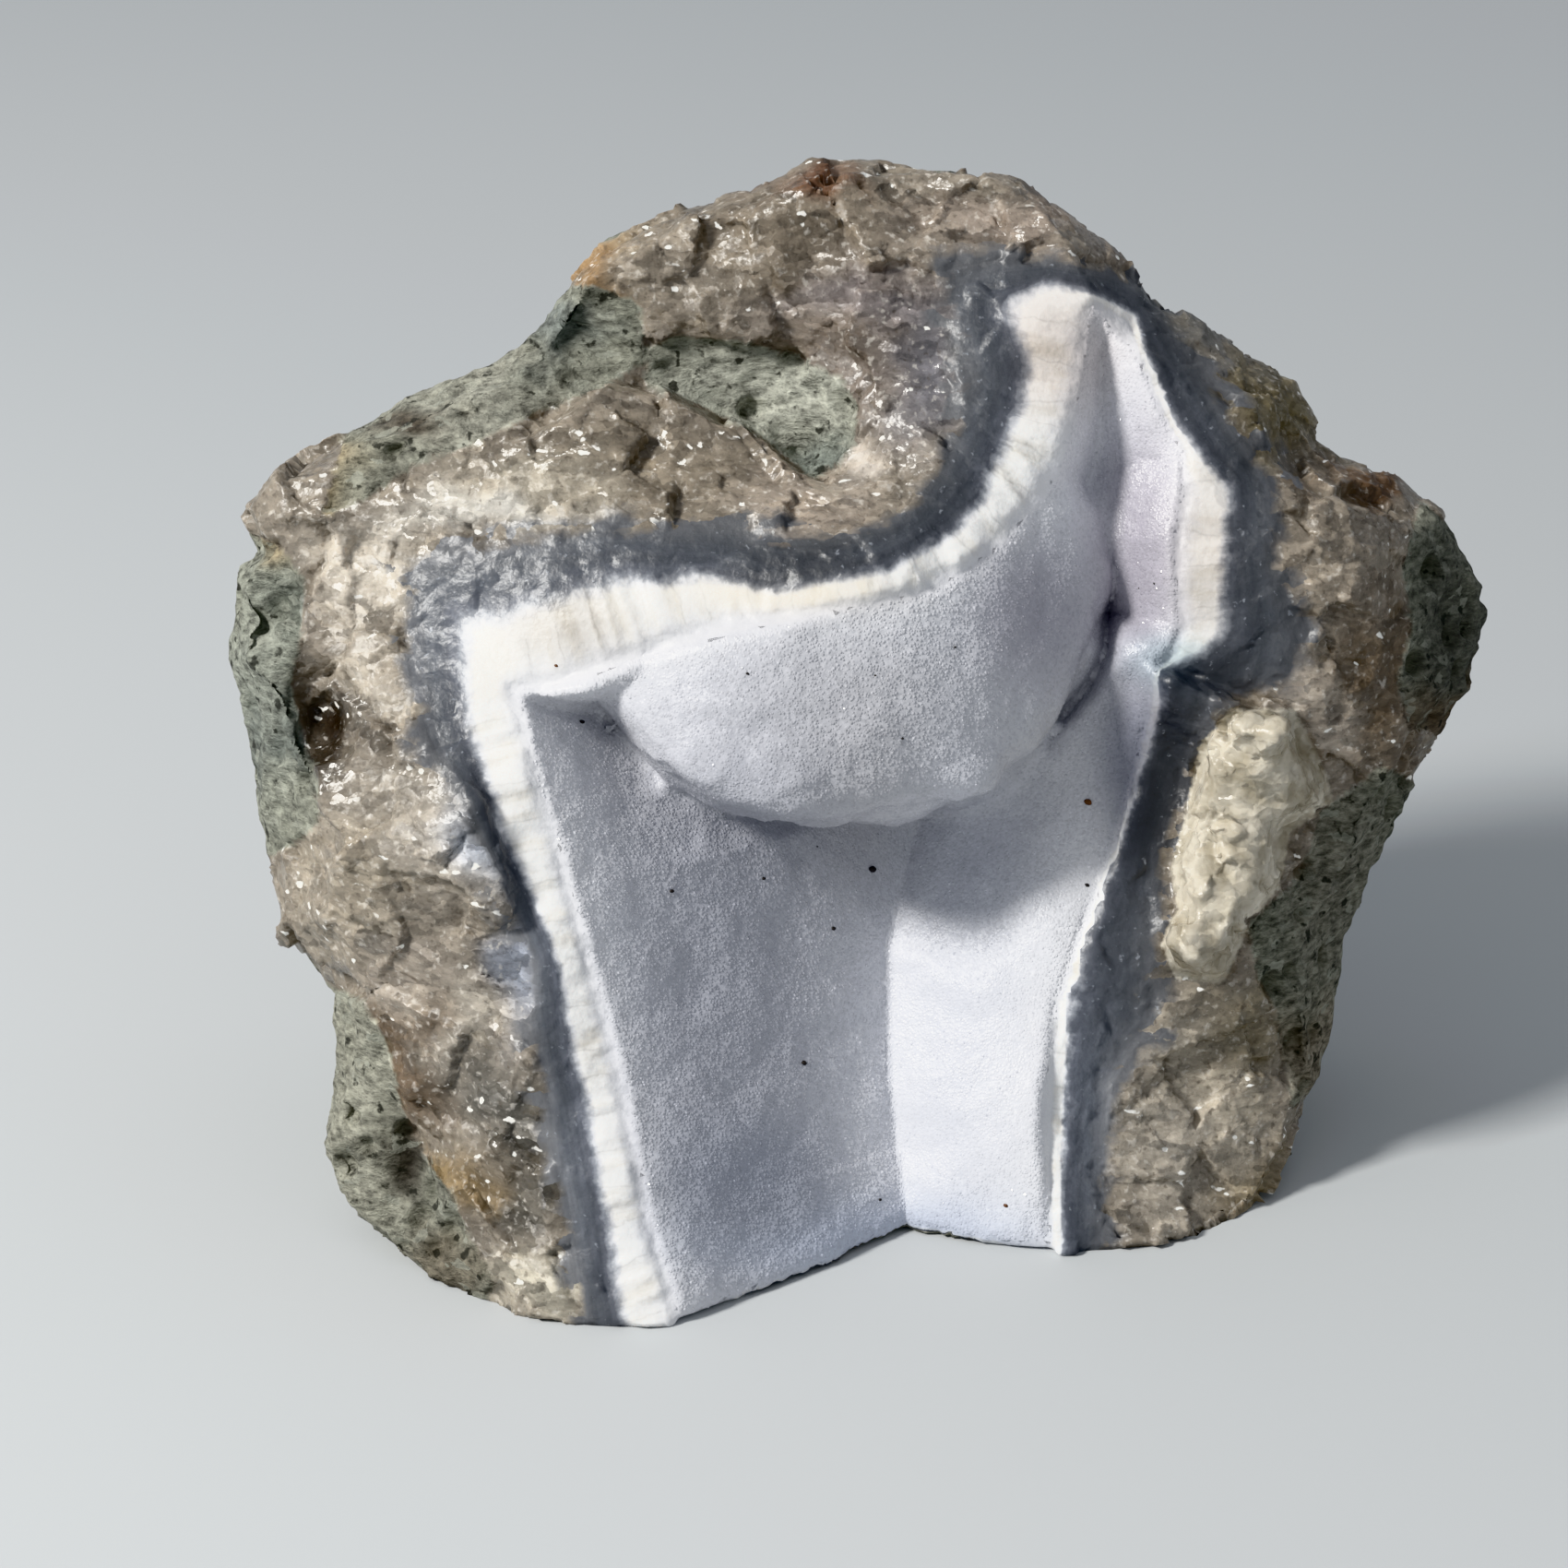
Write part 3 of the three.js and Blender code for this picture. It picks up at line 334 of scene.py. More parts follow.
def facets(points: Array, size: float) -> Array:
    """A broken crystalline surface: flat facets, each tilted its own way, from -1 to 1."""
    offset, label, _ = cells(points, size)
    tilt = np.sin(label[:, None] * np.array(FACET_TURNS))
    tilt /= np.linalg.norm(tilt, axis=1, keepdims=True)
    return np.clip((offset * tilt).sum(axis=1) * FACET_SLOPE, -1, 1)


def nearest_on_line(line: Line, flat: Array) -> tuple[Array, Array, Array]:
    """Finds the nearest point of a line of segments.

    Args:
        line: the corners of the line, of which a and b are used.
        flat: the points to measure from, a and b.

    Returns:
        The distance, the place along the line in segments, and whether it lies on the left.
    """
    best = np.full(len(flat), np.inf)
    place = np.zeros(len(flat))
    left = np.zeros(len(flat), bool)
    corners = np.array([corner[:2] for corner in line], float)
    for n, (start, end) in enumerate(zip(corners[:-1], corners[1:])):
        along = end - start
        t = np.clip((flat - start) @ along / (along @ along), 0, 1)
        away = flat - start - t[:, None] * along
        distance = np.hypot(away[:, 0], away[:, 1])
        nearer = distance < best
        best = np.where(nearer, distance, best)
        place = np.where(nearer, n + t, place)
        left = np.where(nearer, along[0] * away[:, 1] - along[1] * away[:, 0] > 0, left)
    return best, place, left


def inside_distance(outline: Line, flat: Array) -> Array:
    """Distance to a closed outline, positive inside it."""
    closed = [*outline, outline[0]]
    distance, _, _ = nearest_on_line(closed, flat)
    a, b = flat.T
    inside = np.zeros(len(flat), bool)
    for (a0, b0, *_), (a1, b1, *_) in zip(closed[:-1], closed[1:]):
        if b0 != b1:
            crosses = ((b0 > b) != (b1 > b)) & (a < a0 + (b - b0) * (a1 - a0) / (b1 - b0))
            inside ^= crosses
    return np.where(inside, distance, -distance)


def to_linear(colour: str) -> tuple[float, float, float]:
    """Turns an sRGB hex colour into linear red, green and blue."""
    parts = [int(colour[n:n + 2], 16) / 255 for n in (1, 3, 5)]
    return tuple(c / 12.92 if c <= 0.04045 else ((c + 0.055) / 1.055) ** 2.4 for c in parts)


def per_mm(size: float) -> float:
    """The scale that gives a pattern on Object coordinates, which are in metres, this size in mm."""
    return 1 / (size * MM)


class Sheet:
    """A smooth sheet through scattered depths, as a thin plate held at those points would bend."""

    def __init__(self, depths: Line) -> None:
        """Bends the sheet through its anchors.

        Args:
            depths: the anchors, a, b and depth.
        """
        table = np.array(depths, float)
        self.anchors = table[:, :2]
        plane = np.column_stack([np.ones(len(table)), self.anchors])
        system = np.block([[self._bends(self.anchors), plane], [plane.T, np.zeros((3, 3))]])
        self.weights = np.linalg.solve(system, np.concatenate([table[:, 2], np.zeros(3)]))

    def _bends(self, flat: Array) -> Array:
        """The plate's own bending curve from each anchor to each point."""
        square = ((flat[:, None, :] - self.anchors[None, :, :]) ** 2).sum(axis=2)
        return square * np.log(np.maximum(square, 1e-30))

    def depth(self, flat: Array) -> Array:
        """The depth of the sheet at each point."""
        return np.column_stack([self._bends(flat), np.ones(len(flat)), flat]) @ self.weights


@dataclass(frozen=True)
class Eye:
    """The eye that the broken face is described from, and that the camera stands at."""

    elevation: float = math.radians(24)
    distance: float = 400.0
    foot_below_axis: float = 48.0
    footprint_middle: tuple[float, float] = (7.8, 9.6)
    view_width: float = 137.65

    def to_part(self, points: Array) -> Array:
        """Turns face points into the part's own frame."""
        a, b, w = points.T
        spread = 1 + w / self.distance
        sine, cosine = math.sin(self.elevation), math.cos(self.elevation)
        x = a * spread - self.footprint_middle[0]
        y = w * cosine + b * spread * sine - self.footprint_middle[1]
        z = (b * spread + self.foot_below_axis) * cosine - w * sine
        return np.stack([x, y, z], axis=1)

    def to_face(self, points: Array) -> Array:
        """Turns points of the part's own frame into face points."""
        sine, cosine = math.sin(self.elevation), math.cos(self.elevation)
        x, y, z = points.T
        back = y + self.footprint_middle[1]
        up = z - self.foot_below_axis * cosine
        w = back * cosine - up * sine
        spread = 1 + w / self.distance
        return np.stack([(x + self.footprint_middle[0]) / spread,
                         (back * sine + up * cosine) / spread, w], axis=1)


@dataclass(frozen=True)
class Lobe:
    """A blunt lump of the lining that hangs in the hollow, and whose front may bend away."""

    centre: tuple[float, float, float]
    radii: tuple[float, float, float]
    turn: float = 0
    lean: float = 0
    bend_start: float = 0
    bend_radius: float = math.inf
    roundness: float = 2.3
    edge: float = 4.5
    bluntness: float = 12

    def inside(self, points: Array) -> Array:
        """How far points lie inside the lobe."""
        a, b, w = (points - self.centre).T
        past = points[:, 0] - self.bend_start
        w = w - self.lean * past - np.maximum(past, 0) ** 2 / (2 * self.bend_radius)
        sine, cosine = math.sin(self.turn), math.cos(self.turn)
        turned = np.stack([a * cosine + b * sine, b * cosine - a * sine], axis=1)
        across = (np.abs(turned / self.radii[:2]) ** self.roundness).sum(axis=1) ** (1 / self.roundness)
        along = np.abs(w) / self.radii[2]
        scaled = (across ** self.edge + along ** self.bluntness) ** (1 / self.bluntness)
        return (1 - scaled) * sum(self.radii[:2]) / 2


@dataclass
class GeodeForm:
    """The solid form of the geode, as depths that are positive inside the stone."""

    eye: Eye = Eye()
    flank_width: float = 8
    flank_depth: float = 17
    inner_flank_rise: float = 2
    back_width: float = 40
    back_depth: float = 38
    back_plane: float = 37
    outside_drop: float = 6
    lobes: tuple[Lobe, ...] = (
        Lobe(centre=(4.6, 17.9, 14.2), radii=(23, 20.5, 19.5), turn=-0.162, lean=-0.12,
             bend_start=-8, bend_radius=37),
        Lobe(centre=(-15.2, 14, 7), radii=(9.8, 6.1, 11.2)))
    lobe_fillet: float = 1.5
    rim_softness: float = 2.5
    crevice_width: float = 0.75
    crevice_depth: float = 3.5
    rim_inside_rise: float = 2
    rim_outside_rise: float = 2
    face_front: float = -11
    wall_bend_start: float = 12
    hollow_floor: float = 25
    floor_softness: float = 3
    ledge_softness: float = 0.6
    ledge_end: float = 0.2
    tongue_height: float = 3.6
    tongue_edge: float = 2
    face_lumps: tuple = ((7, 0.7), (15, 0.9))
    rind_lumps: tuple = ((6.5, 1.3), (14, 2.4), (30, 3))
    crust_lumps: tuple = ((1.7, 0.1), (4.5, 0.3), (10, 0.6))
    lumps_start: float = 9
    rind_sink: float = 1.2
    extent_low: tuple[float, float, float] = (-53, -60, -17)
    extent_high: tuple[float, float, float] = (66, 60, 62)
    map_step: float = 0.4
    map_margin: float = 1.001
    maps: dict[str, Array] = field(default_factory=dict)

    def __post_init__(self) -> None:
        """Draws the maps that hold everything that does not change with depth."""
        self.map_shape = tuple(
            int((high - low) / self.map_step) + 2
            for low, high in zip(self.extent_low[:2], self.extent_high[:2]))
        axes = [low + self.map_step * np.arange(count)
                for low, count in zip(self.extent_low[:2], self.map_shape)]
        flat = np.stack(np.meshgrid(*axes, indexing="ij"), axis=2).reshape(-1, 2)
        face = self._face_depth(flat)
        in_rim = inside_distance(RIM, flat)
        self.maps = {
            "face": np.maximum(face - self.rim_inside_rise * np.maximum(in_rim, 0), self.face_front),
            "hollow": self._hollow_depth(flat, face, in_rim),
            "inside": inside_distance(OUTLINE, flat),
            "ridge": Sheet(RIDGE_DEPTHS).depth(flat),
            "in_rim": in_rim,
            "in_white": inside_distance(WHITE_EDGE, flat),
            "in_blue": inside_distance(BLUE_EDGE, flat),
            "basalt": np.max([inside_distance(patch, flat) for patch in BASALT_PATCHES], axis=0),
            "tongue": inside_distance(TONGUE, flat),
        }

    def look_up(self, name: str, points: Array) -> Array:
        """Reads one of the maps at face points, in between its grid points."""
        place = (points[:, :2] - np.array(self.extent_low[:2])) / self.map_step
        place = np.clip(place, 0, np.array(self.map_shape) - self.map_margin)
        cell = np.floor(place).astype(int)
        (i, j), (s, t) = cell.T, (place - cell).T
        values = self.maps[name].reshape(self.map_shape)
        return ((1 - s) * ((1 - t) * values[i, j] + t * values[i, j + 1])
                + s * ((1 - t) * values[i + 1, j] + t * values[i + 1, j + 1]))

    def _ledge_depth(self, line: Line, drop: float, reach: float, flat: Array) -> Array:
        """The step that a ledge adds to the face, fading out at its ends."""
        distance, place, left = nearest_on_line(line, flat)
        side = np.where(left, distance, -distance)
        along = place / (len(line) - 1)
        ends = smoothstep(0, self.ledge_end, along) * smoothstep(0, self.ledge_end, 1 - along)
        step = smoothstep(-self.ledge_softness, self.ledge_softness, side)
        return drop * step * ends * np.exp(-((distance / reach) ** 2))

    def _face_depth(self, flat: Array) -> Array:
        """Depth of the broken face, without the hollow."""
        depth = Sheet(FACE_DEPTHS).depth(flat)
        for line, drop, reach in LEDGES:
            depth += self._ledge_depth(line, drop, reach, flat)
        a, b = flat.T
        for middle_a, middle_b, wide, high, deep in DIMPLES:
            depth += deep * np.exp(-(((a - middle_a) / wide) ** 2) - ((b - middle_b) / high) ** 2)
        return depth - self.tongue_height * smoothstep(0, self.tongue_edge, inside_distance(TONGUE, flat))

    def _wall_depth(self, rim: Line, flat: Array) -> Array:
        """Depth that a wall of the hollow has below the face, from the distance to its rim."""
        distance, place, _ = nearest_on_line(rim, flat)
        steps = np.arange(len(rim))
        slope = np.interp(place, steps, [corner[2] for corner in rim])
        bend = np.interp(place, steps, [corner[3] for corner in rim])
        return slope * distance * (distance / self.wall_bend_start) ** bend

    def _hollow_depth(self, flat: Array, face: Array, in_rim: Array) -> Array:
        """Depth of the hollow's wall behind the lobe, and in front of the face outside the rim."""
        walls = [self._wall_depth(rim, flat) for rim in (LEFT_RIM, LOBE_RIM, RIGHT_RIM)]
        depth = face + np.min(walls, axis=0)
        over = (depth - self.hollow_floor) / self.floor_softness
        inner = depth - self.floor_softness * np.log1p(np.exp(over))
        to_crevice, _, _ = nearest_on_line(CREVICE, flat)
        inner += self.crevice_depth * np.exp(-((to_crevice / self.crevice_width) ** 2))
        return np.where(in_rim < 0, face + self.rim_outside_rise * in_rim, inner)

    def _round_over(self, inside: Array, width: float) -> Array:
        """A quarter of an ellipse from 0 at the outline, and a steep drop outside it."""
        t = np.clip(inside / width, 0, 1)
        return np.where(inside < 0, self.outside_drop * inside / width, np.sqrt(1 - (1 - t) ** 2))

    def lobe(self, points: Array) -> Array:
        """How far points lie inside the lobes that hang in the hollow."""
        return np.max([lobe.inside(points) for lobe in self.lobes], axis=0)

    def stone(self, points: Array) -> Array:
        """Positive inside the stone, as if it had no hollow."""
        w = points[:, 2]
        ridge = self.look_up("ridge", points)
        away = smoothstep(0, self.lumps_start, np.abs(w - ridge))
        rough = np.minimum(lumps(self.rind_lumps, points) - self.rind_sink, 0)
        edge = self.look_up("inside", points) + away * rough
        front = (ridge - self.flank_depth * self._round_over(edge, self.flank_width)
                 - self.inner_flank_rise * np.maximum(edge - self.flank_width, 0))
        back = ridge + self.back_depth * self._round_over(edge, self.back_width)
        broken = self.look_up("face", points) + lumps(self.face_lumps, points)
        place = self.eye.to_part(points)
        behind = (self.back_plane - place[:, 1] - self.eye.footprint_middle[1]
                  + lumps(self.rind_lumps, points[:, [1, 2, 0]]))
        solid = np.minimum(w - np.maximum(front, broken), back - w)
        return np.minimum(np.minimum(solid, behind), place[:, 2])

    def open_space(self, points: Array) -> Array:
        """Positive in the open space of the hollow, round the lobe."""
        wall = self.look_up("hollow", points) + lumps(self.crust_lumps, points) - points[:, 2]
        round_lobe = -self.lobe(points) + lumps(self.crust_lumps, points[:, [1, 0, 2]])
        return soft_min(wall, round_lobe, self.lobe_fillet)

    def solid(self, points: Array) -> Array:
        """Positive inside the stone with its hollow."""
        return soft_min(self.stone(points), -self.open_space(points), self.rim_softness)


@dataclass
class Skin:
    """A closed surface of four-sided faces, in face points."""

    points: Array
    quads: Array

    @classmethod
    def around(cls, form: GeodeForm, step: float) -> "Skin":
        """Draws the surface of a form on a grid.

        Args:
            form: the form to draw.
            step: the grid's spacing.

        Returns:
            The surface, with one point in each grid cell that it passes through.
        """
        axes = [np.arange(low, high, step) for low, high in zip(form.extent_low, form.extent_high)]
        shape = tuple(len(axis) for axis in axes)
        grid = np.stack(np.meshgrid(*axes, indexing="ij"), axis=3).reshape(-1, 3)
        values = form.solid(grid).reshape(shape)
        values[[0, -1], :, :] = values[:, [0, -1], :] = values[:, :, [0, -1]] = -step
        cls._mend(values)
        return cls._net(values, axes, step)

    @staticmethod
    def _mend(values: Array, rounds: int = 4, least: float = 1e-3) -> None:
        """Changes single values where two parts of the solid touch along only an edge.

        Args:
            values: the form's value at each grid point, changed in place.
            rounds: how often the grid is looked through.
            least: the size of a changed value.
        """
        for _ in range(rounds):
            for axis in range(3):
                p, q = [n for n in range(3) if n != axis]
                corners = []
                for step_p, step_q in ((0, 0), (1, 0), (1, 1), (0, 1)):
                    cut = [slice(None)] * 3
                    cut[p] = slice(step_p, values.shape[p] - 1 + step_p)
                    cut[q] = slice(step_q, values.shape[q] - 1 + step_q)
                    corners.append(values[tuple(cut)])
                solid = [corner > 0 for corner in corners]
                crossed = (solid[0] == solid[2]) & (solid[1] == solid[3]) & (solid[0] != solid[1])
                weakest = np.argmin([np.abs(corner) for corner in corners], axis=0)
                for n, corner in enumerate(corners):
                    flip = crossed & (weakest == n)
                    corner[flip] = -np.sign(corner[flip]) * least

    @classmethod
    def _net(cls, values: Array, axes: list[Array], step: float) -> "Skin":
        """Joins the places where grid edges cross the surface into one net."""
        cell_shape = tuple(n - 1 for n in values.shape)
        total = np.zeros((*cell_shape, 3))
        count = np.zeros(cell_shape)
        rings = []
        for axis in range(3):
            low, high = [slice(None)] * 3, [slice(None)] * 3
            low[axis], high[axis] = slice(None, -1), slice(1, None)
            first, second = values[tuple(low)], values[tuple(high)]
            crossing = (first > 0) != (second > 0)
            corner = np.argwhere(crossing)
            first, second = first[crossing], second[crossing]
            point = np.stack([axes[n][corner[:, n]] for n in range(3)], axis=1)
            point[:, axis] += step * first / (first - second)
            ring = []
            for step_p, step_q in ((-1, -1), (0, -1), (0, 0), (-1, 0)):
                cell = corner.copy()
                cell[:, (axis + 1) % 3] += step_p
                cell[:, (axis + 2) % 3] += step_q
                np.add.at(total, tuple(cell.T), point)
                np.add.at(count, tuple(cell.T), 1)
                ring.append(np.ravel_multi_index(cell.T, cell_shape))
            ring = np.stack(ring, axis=1)
            ring[first > 0] = ring[first > 0][:, ::-1]
            rings.append(ring)
        used = count.ravel() > 0
        number = np.cumsum(used) - 1
        points = total.reshape(-1, 3)[used] / count.ravel()[used][:, None]
        return cls(points, number[np.concatenate(rings)])

    def refined(self) -> "Skin":
        """Each face cut in four."""
        ends = np.stack([self.quads, np.roll(self.quads, -1, axis=1)], axis=2).reshape(-1, 2)
        edges, number = np.unique(np.sort(ends, axis=1), axis=0, return_inverse=True)
        number = number.reshape(-1, 4) + len(self.points)
        middle = len(self.points) + len(edges) + np.arange(len(self.quads))
        points = np.concatenate([
            self.points, self.points[edges].mean(axis=1), self.points[self.quads].mean(axis=1)])
        quads = [np.stack([self.quads[:, n], number[:, n], middle, number[:, n - 1]], axis=1)
                 for n in range(4)]
        return Skin(points, np.concatenate(quads))

    def neighbour_mean(self, values: Array) -> Array:
        """The mean of a value at the points next to each point."""
        total = np.zeros_like(values, dtype=float)
        count = np.zeros(len(self.points))
        for n in range(4):
            for step in (1, -1):
                np.add.at(total, self.quads[:, n], values[self.quads[:, (n + step) % 4]])
                np.add.at(count, self.quads[:, n], 1)
        return total / (count[:, None] if values.ndim > 1 else count)

    def settle(self, form: GeodeForm, relax: float = 0.3, rounds: int = 3) -> None:
        """Spreads the points evenly and moves them onto the form's own surface.

        Args:
            form: the form that the surface was drawn from.
            relax: how far a point moves to its neighbours' middle in each round.
            rounds: how often this is done.
        """
        probe = 0.15
        longest = 0.4
        least_slope = 0.05
        for _ in range(rounds):
            self.points += relax * (self.neighbour_mean(self.points) - self.points)
            value = form.solid(self.points)
            slope = np.stack([(form.solid(self.points + shift) - value) / probe
                              for shift in probe * np.eye(3)], axis=1)
            move = -slope * (value / np.maximum((slope ** 2).sum(axis=1), least_slope))[:, None]
            length = np.linalg.norm(move, axis=1, keepdims=True)
            self.points += move * np.minimum(1, longest / np.maximum(length, 1e-9))


def point_normals(points: Array, triangles: Array) -> Array:
    """The outward normal at each point of a surface."""
    p, q, r = (points[triangles[:, n]] for n in range(3))
    across = np.cross(q - p, r - p)
    normals = np.zeros_like(points)
    for n in range(3):
        np.add.at(normals, triangles[:, n], across)
    return normals / np.maximum(np.linalg.norm(normals, axis=1, keepdims=True), 1e-12)


@dataclass
class StoneLayers:
    """Which layer of the geode a point lies in, and its tone there."""

    form: GeodeForm
    quartz_width: float = 8
    druse_fade: float = 3.5
    right_fade: float = 6
    right_from: tuple = (13, 17)
    low_from: tuple = (12, 6)
    deep_from: tuple = (8, 30)
    rind_behind_ridge: float = 1.5
    quartz_tone: str = "#7f776c"
    basalt_tone: str = "#86877b"
    wander_sizes: tuple = (5.0, 2.0)
    wander_share: float = 0.5
    wander_shift: float = 50
    stain_edge: float = 1.5
    shade_from: tuple = (0.4, -0.4)

    def layer(self, points: Array, lining: Array) -> Array:
        """Where a point lies between the layers.

        Args:
            points: the face points.
            lining: whether each point is on the hollow's wall or the lobe.

        Returns:
            -1 on the druse, 0 at the rim, 1 at the white band's outer edge, 2 at the blue-grey
            band's outer edge, and 3 further out in the quartz.
        """
        in_rim = self.form.look_up("in_rim", points)
        in_white = self.form.look_up("in_white", points)
        in_blue = self.form.look_up("in_blue", points)
        white = -in_rim / np.maximum(in_white - in_rim, 1e-6)
        blue = 1 - in_white / np.maximum(in_blue - in_white, 1e-6)
        quartz = 2 + np.clip(-in_blue / self.quartz_width, 0, 1)
        across = np.where(in_white > 0, white, np.where(in_blue > 0, blue, quartz))
        low_right = smoothstep(*self.right_from, points[:, 0]) * smoothstep(*self.low_from, points[:, 1])
        inner = -np.clip(in_rim / (self.druse_fade + self.right_fade * low_right), 0, 1)
        deep = points[:, 2] - self.form.look_up("face", points)
        behind = 3 * smoothstep(*self.deep_from, deep)
        broken = np.maximum(np.where(in_rim > 0, 0, across), behind)
        return np.where(lining, inner, broken)

    def basalt(self, points: Array, lining: Array) -> Array:
        """How far a point lies inside the basalt rind, in millimetres."""
        behind = points[:, 2] - self.form.look_up("ridge", points) - self.rind_behind_ridge
        return np.where(lining, -self.quartz_width, np.maximum(self.form.look_up("basalt", points), behind))

    def tone(self, points: Array, basalt: Array) -> Array:
        """The linear colour of the quartz or basalt at each point, before its grain."""
        place = points[:, :2] + sum(
            self.wander_share * size
            * np.stack([noise(points, size), noise(points + self.wander_shift, size)], axis=1)
            for size in self.wander_sizes)
        colours = []
        for base, patches in ((self.quartz_tone, QUARTZ_TONES), (self.basalt_tone, BASALT_TONES)):
            colours.append(self._stained(np.tile(to_linear(base), (len(points), 1)), place, patches))
        return np.where(basalt[:, None] > 0, colours[1], colours[0])

    def tint_and_painted_shade(self, points: Array) -> Array:
        """What the colour of the bands and the crystals is multiplied by at each point, painted shade
        included.
        """
        tint_and_painted_shade = np.ones((len(points), 3))
        tint_and_painted_shade = self._stained(tint_and_painted_shade, points[:, :2], WHITE_TINTS_AND_PAINTED_SHADE)
        in_white = self.form.look_up("in_white", points)
        for a, b, wide, high, factor in SHADES:
            amount = np.exp(-(((points[:, 0] - a) / wide) ** 2 + ((points[:, 1] - b) / high) ** 2))
            amount = amount * smoothstep(*self.shade_from, in_white)
            tint_and_painted_shade += amount[:, None] * (factor - tint_and_painted_shade)
        return tint_and_painted_shade

    def _stained(self, colour: Array, place: Array, patches: Sequence) -> Array:
        """Blends soft round patches of colour over each other.

        Args:
            colour: the linear colour at each point.
            place: the points, a and b.
            patches: a, b, half width, half height and hex colour of each patch.

        Returns:
            The new linear colours.
        """
        for a, b, wide, high, stain in patches:
            away = ((place[:, 0] - a) / wide) ** 2 + ((place[:, 1] - b) / high) ** 2
            amount = np.exp(-(away ** self.stain_edge))
            colour = colour + amount[:, None] * (np.array(to_linear(stain)) - colour)
        return colour

    def along(self, points: Array) -> Array:
        """How far along the rim a point lies, in millimetres."""
        rim = np.array([corner[:2] for corner in RIM], float)
        _, place, _ = nearest_on_line(rim, points[:, :2])
        reached = np.concatenate([[0], np.cumsum(np.linalg.norm(np.diff(rim, axis=0), axis=1))])
        return np.interp(place, np.arange(len(rim)), reached)


@dataclass
class Relief:
    """The small forms of each layer's broken surface, heights in millimetres."""

    quartz_facets: tuple = ((7.0, 0.8), (3.2, 0.3), (1.4, 0.07))
    basalt_ridges: tuple = ((5.0, 0.5), (2.0, 0.3), (1.0, 0.12))
    basalt_stretch: tuple = (0.6, 1.0, 1.0)
    basalt_middle: float = 0.6
    pit_spacing: float = 3.1
    pit_depth: float = 1.2
    pit_rim: tuple = (0.5, 0.2)
    pit_from: float = 0.6
    chalcedony_facets: tuple = ((3.5, 0.2), (1.4, 0.1))
    tooth_width: float = 1.7
    tooth_height: float = 0.3
    tooth_middle: float = 0.5
    tooth_stretch: tuple = (1.2, 0.1)
    teeth_from: tuple = (-0.1, 0.3)
    chalcedony_from: tuple = (0.85, 1.15)
    quartz_from: tuple = (1.75, 2.15)
    patch_edge: tuple = (-0.4, 0.4)
    sugar: tuple = ((7.0, 0.2), (2.6, 0.07), (0.8, 0.06))
    slab_facets: tuple = ((4.2, 0.6), (1.8, 0.22), (0.9, 0.08))

    def height(self, layers: StoneLayers, points: Array, place: Array, lining: Array) -> Array:
        """How far each point of the surface stands out.

        Args:
            layers: says which layer a point lies in.
            points: the face points.
            place: the same points in the part's own frame.
            lining: whether each point is on the hollow's wall or the lobe.

        Returns:
            Heights along the normals, in millimetres.
        """
        layer = layers.layer(points, lining)
        basalt = layers.basalt(points, lining)
        quartz, chalcedony, slab = (
            sum(high * facets(place, size) for size, high in sizes)
            for sizes in (self.quartz_facets, self.chalcedony_facets, self.slab_facets))
        away, label, _ = cells(place, self.pit_spacing)
        pit = smoothstep(*self.pit_rim, np.linalg.norm(away, axis=1)) * (label > self.pit_from)
        stretched = place * self.basalt_stretch
        rind = sum(high * (self.basalt_middle - 2 * np.abs(noise(stretched, size)))
                   for size, high in self.basalt_ridges)
        rind -= self.pit_depth * pit
        wide, deep = self.tooth_stretch
        across = np.stack([layers.along(points), wide * layer, deep * points[:, 2]], axis=1)
        teeth = self.tooth_height * (self.tooth_middle - 2 * np.abs(noise(across, self.tooth_width)))
        height = teeth * smoothstep(*self.teeth_from, layer)
        for relief, ends, measure in (
                (chalcedony, self.chalcedony_from, layer), (quartz, self.quartz_from, layer),
                (slab, self.patch_edge, layers.form.look_up("tongue", points)),
                (rind, self.patch_edge, basalt)):
            height += smoothstep(*ends, measure) * (relief - height)
        return np.where(lining, lumps(self.sugar, place), height)


def make_mesh(name: str, points: Array, faces: list) -> Piece:
    """Makes a smooth mesh object.

    Args:
        name: the object's name.
        points: its points in the part's own frame, in millimetres.
        faces: the point numbers of each face.

    Returns:
        The new object, at the origin.
    """
    mesh = bpy.data.meshes.new(name)
    mesh.from_pydata((points * MM).tolist(), [], faces)
    mesh.polygons.foreach_set("use_smooth", np.ones(len(mesh.polygons), bool))
    mesh.update()
    piece = bpy.data.objects.new(name, mesh)
    bpy.context.scene.collection.objects.link(piece)
    return piece


def read_points(mesh: Mesh) -> Array:
    """The points of a mesh, in millimetres."""
    flat = np.empty(len(mesh.vertices) * 3)
    mesh.vertices.foreach_get("co", flat)
    return flat.reshape(-1, 3) / MM


def read_triangles(mesh: Mesh) -> Array:
    """The point numbers of a mesh's triangles."""
    mesh.calc_loop_triangles()
    flat = np.empty(len(mesh.loop_triangles) * 3, int)
    mesh.loop_triangles.foreach_get("vertices", flat)
    return flat.reshape(-1, 3)


def read_attribute(mesh: Mesh, name: str) -> Array:
    """The numbers that an attribute gives a mesh's points."""
    values = np.empty(len(mesh.vertices))
    mesh.attributes[name].data.foreach_get("value", values)
    return values


def set_attribute(mesh: Mesh, name: str, values: Array) -> None:
    """Gives each point of a mesh a number, or a colour where there are three numbers."""
    if values.ndim == 1:
        mesh.attributes.new(name, "FLOAT", "POINT").data.foreach_set("value", values.astype(np.float32))
        return
    colour = np.column_stack([values, np.ones(len(values))]).astype(np.float32)
    mesh.attributes.new(name, "FLOAT_COLOR", "POINT").data.foreach_set("color", colour.ravel())


